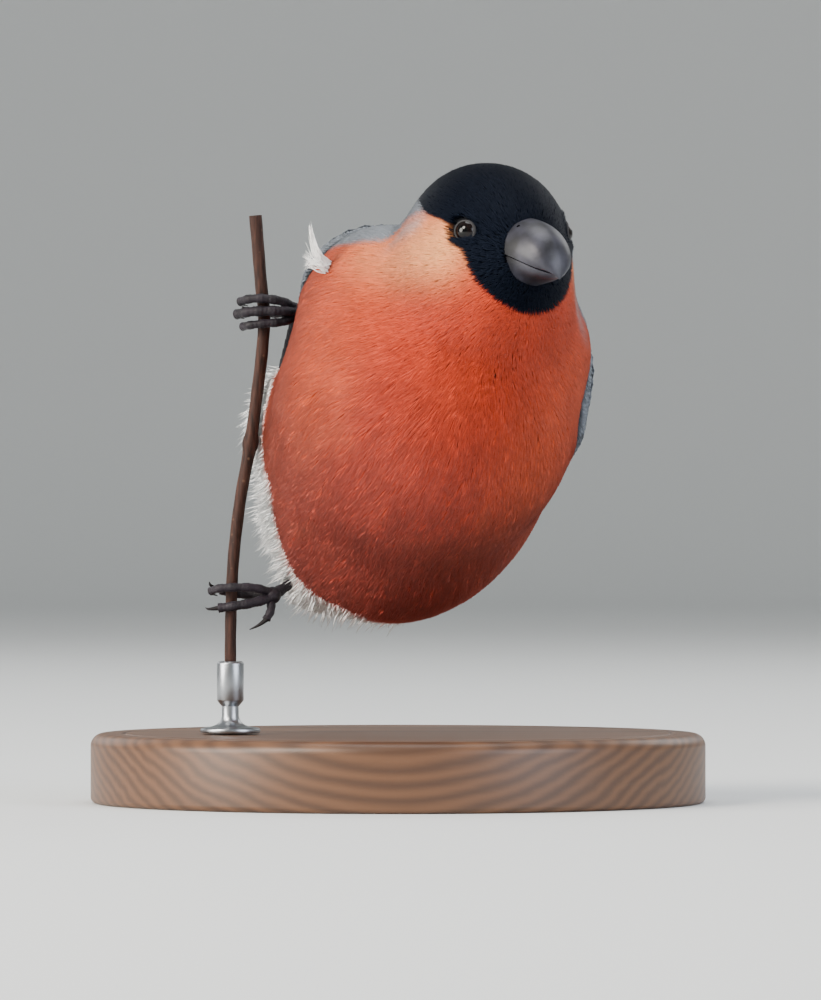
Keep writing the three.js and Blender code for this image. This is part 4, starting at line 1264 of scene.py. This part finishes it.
def make_eye(side, materials):
    """A glassy ball with a low cornea: pupil, dark iris and rim by their angle from its axis."""
    centre, out = eye_place(side)
    bpy.ops.object.select_all(action="DESELECT")
    bpy.ops.mesh.primitive_uv_sphere_add(segments=64, ring_count=40, radius=EYE_RADIUS * MM)
    ball = bpy.context.active_object
    for vertex in ball.data.vertices:
        angle = math.acos(max(-1, min(1, vertex.co.normalized().z)))
        vertex.co *= 1 + 0.02 * max(0, 1 - (angle / 0.9) ** 2)
    for face in ball.data.polygons:
        angle = math.acos(max(-1, min(1, face.center.normalized().z)))
        face.material_index = int(angle >= PUPIL_ANGLE) + int(angle >= IRIS_ANGLE)
    ball.data.transform(Matrix.Translation(Vector(centre) * MM) @ facing(out))
    bpy.ops.object.shade_smooth()
    ball.name = ball.data.name = "eyeball_" + SIDES[side]
    seat(ball, materials, "eye", "eye_" + SIDES[side])


def make_lids(side, material):
    """A wrinkled ring of bare skin round the eye, longer than high."""
    centre, out = eye_place(side)
    bpy.ops.object.select_all(action="DESELECT")
    bpy.ops.mesh.primitive_torus_add(
        major_segments=72, minor_segments=14, major_radius=LID_RADIUS * MM, minor_radius=LID_THICKNESS * MM
    )
    ring = bpy.context.active_object
    for vertex in ring.data.vertices:
        a = math.atan2(vertex.co.y, vertex.co.x)
        swell = 1 + 0.05 * math.sin(26 * a) + 0.04 * math.sin(17 * a + 1)
        spot = Vector((math.cos(a), math.sin(a), 0)) * LID_RADIUS * MM
        vertex.co = spot + (vertex.co - spot) * swell
        vertex.co.x *= 1.06
        vertex.co.y *= 0.97
        vertex.co.z -= (vertex.co.x**2 + vertex.co.y**2) / (20 * MM)
    place = Vector(centre + out * (EYE_OUT - 0.12)) * MM
    ring.data.transform(Matrix.Translation(place) @ facing(out))
    bpy.ops.object.shade_smooth()
    ring.name = ring.data.name = "eyelids_" + SIDES[side]
    seat(ring, material, "leg_skin")


# Feet: each toe as its radius, its line of [right, front, up] in the frame of its grip, and then its claw's

UPPER_TOES = [
    (
        0.85,
        [[6.2, 0.2, 0.9], [3.6, 2.3, 2.2], [0, 2.9, 2.9], [-3, 2.4, 2.9], [-4.7, 0.4, 2.5]],
        [[-4.7, -1.7, 2.1], [-3.3, -3.1, 1.7]],
    ),
    (
        0.95,
        [[6.4, 0.4, 0], [3.8, 2.6, 0.2], [0, 3.1, 0.4], [-3.4, 2.6, 0.3], [-5.5, 0.6, 0]],
        [[-5.6, -1.7, -0.4], [-4.1, -3.2, -0.8]],
    ),
    (
        0.8,
        [[6.2, 0.2, -0.9], [3.6, 2.3, -1.9], [0, 2.85, -2.1], [-2.8, 2.4, -2.3], [-4.4, 0.4, -2.5]],
        [[-4.6, -1.4, -2.7], [-3.4, -2.8, -3.0]],
    ),
    (0.9, [[6.2, -0.6, 0], [3.4, -2.5, 0], [0, -3.0, 0.2], [-2.4, -2.7, 0.7]], [[-4.1, -1.4, 1.3], [-4.2, 0.6, 1.5]]),
]
LOWER_TOES = [
    (
        0.8,
        [[7.9, 0.2, 0.6], [4.4, 2.3, 1.4], [0, 2.85, 1.3], [-2.6, 2.3, 1.0], [-4.1, 0.4, 0.4]],
        [[-4.2, -1.5, -0.1], [-2.9, -2.9, -0.5]],
    ),
    (
        0.9,
        [[8.0, 0.3, -0.4], [4.8, 2.3, -1.5], [0.6, 2.95, -2.4], [-2.4, 2.4, -2.9]],
        [[-4.4, 1.0, -3.2], [-5.1, -1.0, -3.0]],
    ),
    (0.8, [[7.9, 0, -0.8], [8.0, 1.4, -3.0], [7.2, 2.2, -4.8]], [[5.6, 2.3, -6.1], [3.9, 1.8, -7.0]]),
    (0.9, [[7.8, -0.6, 0], [4.4, -2.5, 0], [0, -3.0, 0.1], [-2.3, -2.6, 0.7]], [[-4.2, -1.3, 1.5], [-4.5, 0.7, 2.2]]),
]
PALM_RADIUS = 1.75
# Each foot's height, its palm in the frame of its grip, its hock in the torso's, and its toes
FEET = {
    "right": (UPPER_GRIP, [6.6, -0.2, 0], [-13, -28.5, -6], UPPER_TOES),
    "left": (LOWER_GRIP, [8.2, -0.2, 0], [-22, -4, -27], LOWER_TOES),
}


def grip_frame(height):
    """The frame of a grip: on the stem's axis, with right, front and up as its axes."""
    z = TORSO_CENTRE[2] + height
    i = int(np.abs(STEM_CURVE[:, 2] - z).argmin())
    up = unit(STEM_CURVE[i - 1] - STEM_CURVE[i + 1])
    right = unit(np.array([1.0, 0, 0]) - up * up[0])
    return frame_of(np.stack([right, np.cross(right, up), up], 1), STEM_CURVE[i])


def leg_ends(name):
    """Where a tarsus leaves the palm and where it enters the thigh."""
    height, palm, hock, _ = FEET[name]
    return out_of(grip_frame(height), palm), out_of(TORSO, hock)


def make_foot(name, skin_material, claw_material):
    """Toes with pads and scutes, a palm and a scaled tarsus, and separate curved claws."""
    grip = grip_frame(FEET[name][0])
    flesh, horn = [], []
    for radius, toe, claw in FEET[name][3]:
        joints = len(toe)

        def around(t, a, radius=radius, joints=joints):
            pad = 1.12 + 0.07 * math.cos(2 * math.pi * joints * t) - 0.1 * t
            scute = 0.04 * (1 - 2 * ((t * 16) % 1)) + 0 * a
            return radius * (pad + scute)

        def taper(t, a, radius=radius):
            return mix(radius * 0.78, 0.1, t**0.8) * (1 + 0.12 * np.cos(2 * a))

        line = out_of(grip, np.array(toe, float))
        flesh.append(closed_loft(tube(line, around, 64, 16)))
        end = toe[-1]
        start = [mix(c, e, 0.7) for c, e in zip(toe[-2], end)]
        tip = out_of(grip, np.array([start, end, *claw], float))
        horn.append(closed_loft(tube(tip, taper, 24, 12)))
    foot, hock = leg_ends(name)
    bow = (foot + hock) / 2 + [0, 0.6, 0]

    def shank(t, a):
        ends = 0.35 * math.exp(-((t / 0.12) ** 2)) + 0.45 * math.exp(-(((1 - t) / 0.14) ** 2))
        return 1.05 * (1.03 - 0.12 * ((t * 9) % 1)) + ends + 0 * a

    flesh.append(closed_loft(tube([foot, bow, hock], shank, 72, 20)))
    points, faces = gather(flesh)
    leg = array_mesh("leg_" + name + "_skin", points, faces)
    bpy.ops.object.select_all(action="DESELECT")
    bpy.ops.mesh.primitive_ico_sphere_add(subdivisions=4, radius=PALM_RADIUS * MM, location=foot * MM)
    ball = bpy.context.active_object
    bpy.ops.object.transform_apply(location=True, rotation=True, scale=True)
    for vertex in ball.data.vertices:
        p = np.array(vertex.co[:])[None] / MM
        vertex.co += (vertex.co - Vector(foot * MM)) * float(0.05 * waves(p, 1.1, 31)[0])
    leg.select_set(True)
    bpy.context.view_layer.objects.active = leg
    bpy.ops.object.join()
    bpy.ops.object.shade_smooth()
    face_out(leg)
    seat(leg, skin_material, "leg_skin", "leg_" + name, "foot_" + name)
    points, faces = gather(horn)
    claws = array_mesh("claws_" + name, points, faces)
    face_out(claws)
    seat(claws, claw_material, "bill_horn")


# Stem and stand


def make_stem():
    """A cut length of young stem with ribs and a bud."""

    def around(t, a):
        z = np.interp(t, np.linspace(0, 1, 200), STEM_CURVE[:, 2]) - TORSO_CENTRE[2]
        bud = 0.45 * math.exp(-(((z - BUD_HEIGHT) / 1.6) ** 2))
        rib = 0.03 * np.cos(5 * a + 6 * t) + 0.02 * np.cos(11 * a - 20 * t) + 0.02 * math.sin(90 * t)
        return mix(STEM_RADIUS * 1.05, STEM_RADIUS * 0.95, t) + bud + rib

    points, faces = closed_loft(tube(STEM_LINE, around, 260, 28))
    piece = array_mesh("perch_bark", points, faces)
    face_out(piece)
    bpy.ops.object.shade_smooth_by_angle(angle=math.radians(40))
    return seat(piece, bark_material(), "stem_bark", "perch_stem")


def spun(name, profile, centre, segments, sharp):
    """A turned piece: its half profile, in millimetres, spun once round an upright axis."""
    mesh = bpy.data.meshes.new(name)
    points = [((centre[0] + r) * MM, centre[1] * MM, (centre[2] + z) * MM) for r, z in profile]
    mesh.from_pydata(points, [(i, i + 1) for i in range(len(points) - 1)], [])
    piece = bpy.data.objects.new(name, mesh)
    bpy.context.scene.collection.objects.link(piece)
    with editing(piece):
        middle = (centre[0] * MM, centre[1] * MM, centre[2] * MM)
        bpy.ops.mesh.spin(steps=segments, angle=2 * math.pi, center=middle, axis=(0, 0, 1))
        bpy.ops.mesh.select_all(action="SELECT")
        bpy.ops.mesh.remove_doubles(threshold=0.000005)
        bpy.ops.mesh.normals_make_consistent(inside=False)
    bpy.ops.object.shade_smooth_by_angle(angle=math.radians(sharp))
    return piece


RIM_ROUNDING = 2.5


def make_base(sizes):
    """A turned round board with a rounded upper rim, a fine groove and an eased foot."""
    r, h, e = sizes.base_radius / MM, sizes.base_height / MM, RIM_ROUNDING
    profile = [(0, 0), (r - 8, 0), (r - 1.2, 0)]
    profile += [(r - 1.2 + 1.2 * math.sin(a), 1.2 - 1.2 * math.cos(a)) for a in np.linspace(0.2, 1.57, 6)]
    profile += [(r, h * 0.5)]
    profile += [(r - e + e * math.cos(a), h - e + e * math.sin(a)) for a in np.linspace(0, math.pi / 2, 12)]
    profile += [(r - 6.0, h), (r - 6.3, h - 0.35), (r - 6.9, h - 0.35), (r - 7.2, h)]
    profile += [(x, h) for x in np.linspace(r - 12, 0, 8)]
    base = spun("turned_base", profile, (0, 0, 0), 160, 40)
    return seat(base, beech_material(), "base_wood", "stand_base")


ROD_RADIUS = 1.7
CUP_RADIUS = 2.7
CUP_HEIGHT = 9
CUP_DEPTH = 6


def make_rod(sizes):
    """A turned rod with a flange below and a cup above that holds the stem's foot."""
    foot = STEM_LINE[-1]
    bottom = sizes.base_height / MM + 0.3
    floor = foot[2] - 0.3 - bottom
    rim = floor + CUP_DEPTH
    cup = rim - CUP_HEIGHT
    inner = STEM_RADIUS * 1.15 + 0.3
    profile = [(0, 0), (5.6, 0), (5.9, 0.12), (6, 0.3), (6, 0.7), (5.9, 0.9), (5.5, 1.05), (5, 1.2)]
    profile += [(mix(5.0, ROD_RADIUS + 0.1, math.sin(a)), 3.2 - 2.0 * math.cos(a)) for a in np.linspace(0.2, 1.5, 8)]
    profile += [(ROD_RADIUS, 3.4), (ROD_RADIUS, cup), (ROD_RADIUS + 0.5, cup + 0.55), (CUP_RADIUS - 0.1, cup + 1.1)]
    profile += [(CUP_RADIUS, cup + 1.3), (CUP_RADIUS, rim - 0.5), (CUP_RADIUS - 0.12, rim - 0.2)]
    profile += [(CUP_RADIUS - 0.35, rim - 0.03), (CUP_RADIUS - 0.5, rim), (inner + 0.15, rim)]
    profile += [(inner, rim - 0.15), (inner, floor), (0, floor)]
    rod = spun("turned_rod", profile, (foot[0], foot[1], bottom), 72, 35)
    return seat(rod, steel_material(), "rod_steel", "stand_rod")


# Studio

CAMERA_AT = (0.0025, -1.614, 0.061)
LENS = 288
LAMPS_AIM = (0.0, -0.014, 0.075)
# What each lamp does, its watts, its place and width in metres, and its colour
LAMPS = {
    "key": ("Lamp from the upper left", 40, (-1.15, -1.1, 1.15), 0.8, "#fff6ea"),
    "fill": ("Lamp from the right", 22, (1.25, -1.0, 0.55), 1.2, "#eef3ff"),
    "side": ("Lamp from the left", 30, (-1.4, -0.55, 0.4), 0.9, "#fffaf2"),
    "top": ("Lamp from above", 19, (0.1, 0.1, 1.7), 1.2, "#ffffff"),
    "rim": ("Lamp from behind on the right", 5, (0.9, 1.1, 0.8), 0.8, "#ffffff"),
    "back": ("Lamp from behind on the left", 3.5, (-0.9, 1.2, 0.6), 0.9, "#ffffff"),
}


def make_studio(light):
    """A pale round floor that curves up all round, soft lamps, and the camera."""
    curve = [(3.0 + 1.2 * math.sin(a), 1.2 - 1.2 * math.cos(a)) for a in np.linspace(0, math.pi / 2, 14)]
    profile = [(0, 0), (0.4, 0), (1.5, 0)] + curve + [(4.2, 3.4)]
    floor = spun("studio_floor", [(x / MM, z / MM) for x, z in profile], (0, 0, 0), 64, 60)
    material, _, _ = new_material("matt_paper", light.floor_hex, Roughness=0.95)
    floor.data.materials.append(material)
    for name, (_, _, place, size, colour) in LAMPS.items():
        lamp = bpy.data.lights.new("studio_" + name, "AREA")
        lamp.shape = "DISK"
        lamp.size = size
        lamp.energy = getattr(light, name)
        lamp.color = linear(colour)[:3]
        made = bpy.data.objects.new("studio_" + name, lamp)
        bpy.context.scene.collection.objects.link(made)
        made.location = place
        aim = Vector(LAMPS_AIM) - Vector(place)
        made.rotation_euler = aim.to_track_quat("-Z", "Y").to_euler()
    world = bpy.data.worlds.new("studio_air")
    world.use_nodes = True
    air = world.node_tree.nodes["Background"]
    plug(air, {"Color": linear("#eef1f4"), "Strength": light.air})
    bpy.context.scene.world = world
    lens = bpy.data.cameras.new("photo_camera")
    lens.lens = LENS
    lens.sensor_fit = "VERTICAL"
    lens.sensor_height = 36
    lens.clip_start, lens.clip_end = 0.05, 20
    camera = bpy.data.objects.new("photo_camera", lens)
    bpy.context.scene.collection.objects.link(camera)
    camera.location = CAMERA_AT
    camera.rotation_euler = (math.pi / 2, 0, 0)
    bpy.context.scene.camera = camera


# Settings, operators and panel


class BullfinchColours(bpy.types.PropertyGroup):
    """Colours of the plumage."""

    __annotations__ = {
        name: bpy.props.FloatVectorProperty(
            name=words, description=words, subtype="COLOR", size=3, min=0, max=1, default=linear(code)[:3]
        )
        for name, (code, words) in COLOURS.items()
    }


class BullfinchPlumage(bpy.types.PropertyGroup):
    """Sizes of the plumage."""

    tufts_per_mm2: bpy.props.FloatProperty(
        name="Tufts on the face", description="Tufts to a square millimetre round the bill", default=18, min=1, max=40
    )
    tuft_length: bpy.props.FloatProperty(
        name="Tuft length", description="Length of the tufts beside their usual length", default=1, min=0.5, max=2
    )
    tuft_width: bpy.props.FloatProperty(
        name="Tuft width", description="Width of the tufts beside their usual width", default=1, min=0.5, max=2
    )
    fluff: bpy.props.FloatProperty(
        name="Fluff", description="How far white down stands out, in millimetres", default=2.4, min=0, max=5
    )
    flight_feathers: bpy.props.IntProperty(
        name="Flight feathers", description="Vanes of one folded wing", default=13, min=5, max=19
    )


class BullfinchStand(bpy.types.PropertyGroup):
    """Sizes of the stand."""

    base_radius: bpy.props.FloatProperty(
        name="Base radius", description="Radius of the round base", default=0.062, min=0.03, unit="LENGTH"
    )
    base_height: bpy.props.FloatProperty(
        name="Base height", description="Height of the round base", default=0.014, min=0.005, unit="LENGTH"
    )


class BullfinchStudio(bpy.types.PropertyGroup):
    """Strengths of the studio's lamps."""

    __annotations__ = {
        name: bpy.props.FloatProperty(name=name.title(), description=words, default=power, unit="POWER")
        for name, (words, power, _, _, _) in LAMPS.items()
    }
    air: bpy.props.FloatProperty(name="Air", description="Light from all round", default=0.4, min=0)
    floor_hex: bpy.props.StringProperty(
        name="Floor colour", description="Colour of the paper floor", default="#d9dcdc"
    )


class BULLFINCH_OT_coat(bpy.types.Operator):
    """Grow the skin and the plumage of head and body"""

    bl_idname = "bullfinch.coat"
    bl_label = "Skin and plumage"

    def execute(self, context):
        skin = grow_skin()
        grow_coat(skin, context.scene.bullfinch_plumage)
        loose_feather()
        down = plumage_material("down_and_quills", 0.9, 0.2, 0.2)
        seat(skin, down, "plumage_red", *FLESH)
        return {"FINISHED"}


class BULLFINCH_OT_wings(bpy.types.Operator):
    """Lay the flight feathers and coverts of both folded wings"""

    bl_idname = "bullfinch.wings"
    bl_label = "Wings"

    def execute(self, context):
        for side in SIDES:
            grow_wing(side, context.scene.bullfinch_plumage)
        return {"FINISHED"}


class BULLFINCH_OT_tail(bpy.types.Operator):
    """Lay the twelve tail feathers and their coverts"""

    bl_idname = "bullfinch.tail"
    bl_label = "Tail"

    def execute(self, context):
        grow_tail()
        return {"FINISHED"}


class BULLFINCH_OT_bill(bpy.types.Operator):
    """Shape the upper and lower bill with its nostrils"""

    bl_idname = "bullfinch.bill"
    bl_label = "Bill"

    def execute(self, context):
        horn = horn_material("polished_bill_keratin", "#101015", "#3a3a45", 210.0, 0.46)
        upper = mandible("bill_upper_horn", culmen, 0, 1, horn, "bill_upper")
        nostril_pits(upper)
        mandible("bill_lower_horn", gonys, 0.3, 0.94, horn, "bill_lower")
        return {"FINISHED"}


class BULLFINCH_OT_eyes(bpy.types.Operator):
    """Set both eyes and their lids"""

    bl_idname = "bullfinch.eyes"
    bl_label = "Eyes"

    def execute(self, context):
        glass = {"Roughness": 0.03, "IOR": 1.376}
        eye = {"pupil": "#020202", "iris": "#0e0605", "rim": "#080605"}
        eye = [new_material("eye_" + name + "_wet_cornea", colour, **glass)[0] for name, colour in eye.items()]
        lid, _, _ = new_material("bare_lid_skin", "#121013", Roughness=0.7)
        for side in SIDES:
            make_eye(side, eye)
            make_lids(side, lid)
        return {"FINISHED"}


class BULLFINCH_OT_feet(bpy.types.Operator):
    """Shape both legs with their scutes, toes and claws"""

    bl_idname = "bullfinch.feet"
    bl_label = "Legs and feet"

    def execute(self, context):
        scales = scale_material()
        horn = horn_material("claw_keratin", "#0f0d0e", "#262023", 1.2, 0.6, 0.12)
        for name in FEET:
            make_foot(name, scales, horn)
        return {"FINISHED"}


class BULLFINCH_OT_perch(bpy.types.Operator):
    """Shape the cut stem"""

    bl_idname = "bullfinch.perch"
    bl_label = "Stem"

    def execute(self, context):
        make_stem()
        return {"FINISHED"}


class BULLFINCH_OT_stand(bpy.types.Operator):
    """Turn the base and the rod of the stand"""

    bl_idname = "bullfinch.stand"
    bl_label = "Stand"

    def execute(self, context):
        make_base(context.scene.bullfinch_stand)
        make_rod(context.scene.bullfinch_stand)
        return {"FINISHED"}


class BULLFINCH_OT_studio(bpy.types.Operator):
    """Set the floor, the lamps and the camera"""

    bl_idname = "bullfinch.studio"
    bl_label = "Studio"

    def execute(self, context):
        make_studio(context.scene.bullfinch_studio)
        return {"FINISHED"}


OPERATORS = (
    BULLFINCH_OT_coat,
    BULLFINCH_OT_wings,
    BULLFINCH_OT_tail,
    BULLFINCH_OT_bill,
    BULLFINCH_OT_eyes,
    BULLFINCH_OT_feet,
    BULLFINCH_OT_perch,
    BULLFINCH_OT_stand,
    BULLFINCH_OT_studio,
)
SETTINGS = {
    "bullfinch_colours": BullfinchColours,
    "bullfinch_plumage": BullfinchPlumage,
    "bullfinch_stand": BullfinchStand,
    "bullfinch_studio": BullfinchStudio,
}


class BULLFINCH_PT_panel(bpy.types.Panel):
    """Settings and pieces of the bullfinch"""

    bl_idname = "BULLFINCH_PT_panel"
    bl_label = "Bullfinch"
    bl_space_type = "VIEW_3D"
    bl_region_type = "UI"
    bl_category = "Bullfinch"

    def draw(self, context):
        for name, group in SETTINGS.items():
            box = self.layout.box()
            for setting in group.__annotations__:
                box.prop(getattr(context.scene, name), setting)
        for operator in OPERATORS:
            self.layout.operator(operator.bl_idname)


def register():
    for cls in (*SETTINGS.values(), *OPERATORS, BULLFINCH_PT_panel):
        bpy.utils.register_class(cls)
    for name, group in SETTINGS.items():
        setattr(bpy.types.Scene, name, bpy.props.PointerProperty(type=group))


def unregister():
    for name in SETTINGS:
        delattr(bpy.types.Scene, name)
    for cls in reversed((*SETTINGS.values(), *OPERATORS, BULLFINCH_PT_panel)):
        bpy.utils.unregister_class(cls)


def main():
    register()
    bpy.ops.bullfinch.coat()
    bpy.ops.bullfinch.wings()
    bpy.ops.bullfinch.tail()
    bpy.ops.bullfinch.bill()
    bpy.ops.bullfinch.eyes()
    bpy.ops.bullfinch.feet()
    bpy.ops.bullfinch.perch()
    bpy.ops.bullfinch.stand()
    bpy.ops.bullfinch.studio()


if __name__ == "__main__":
    main()
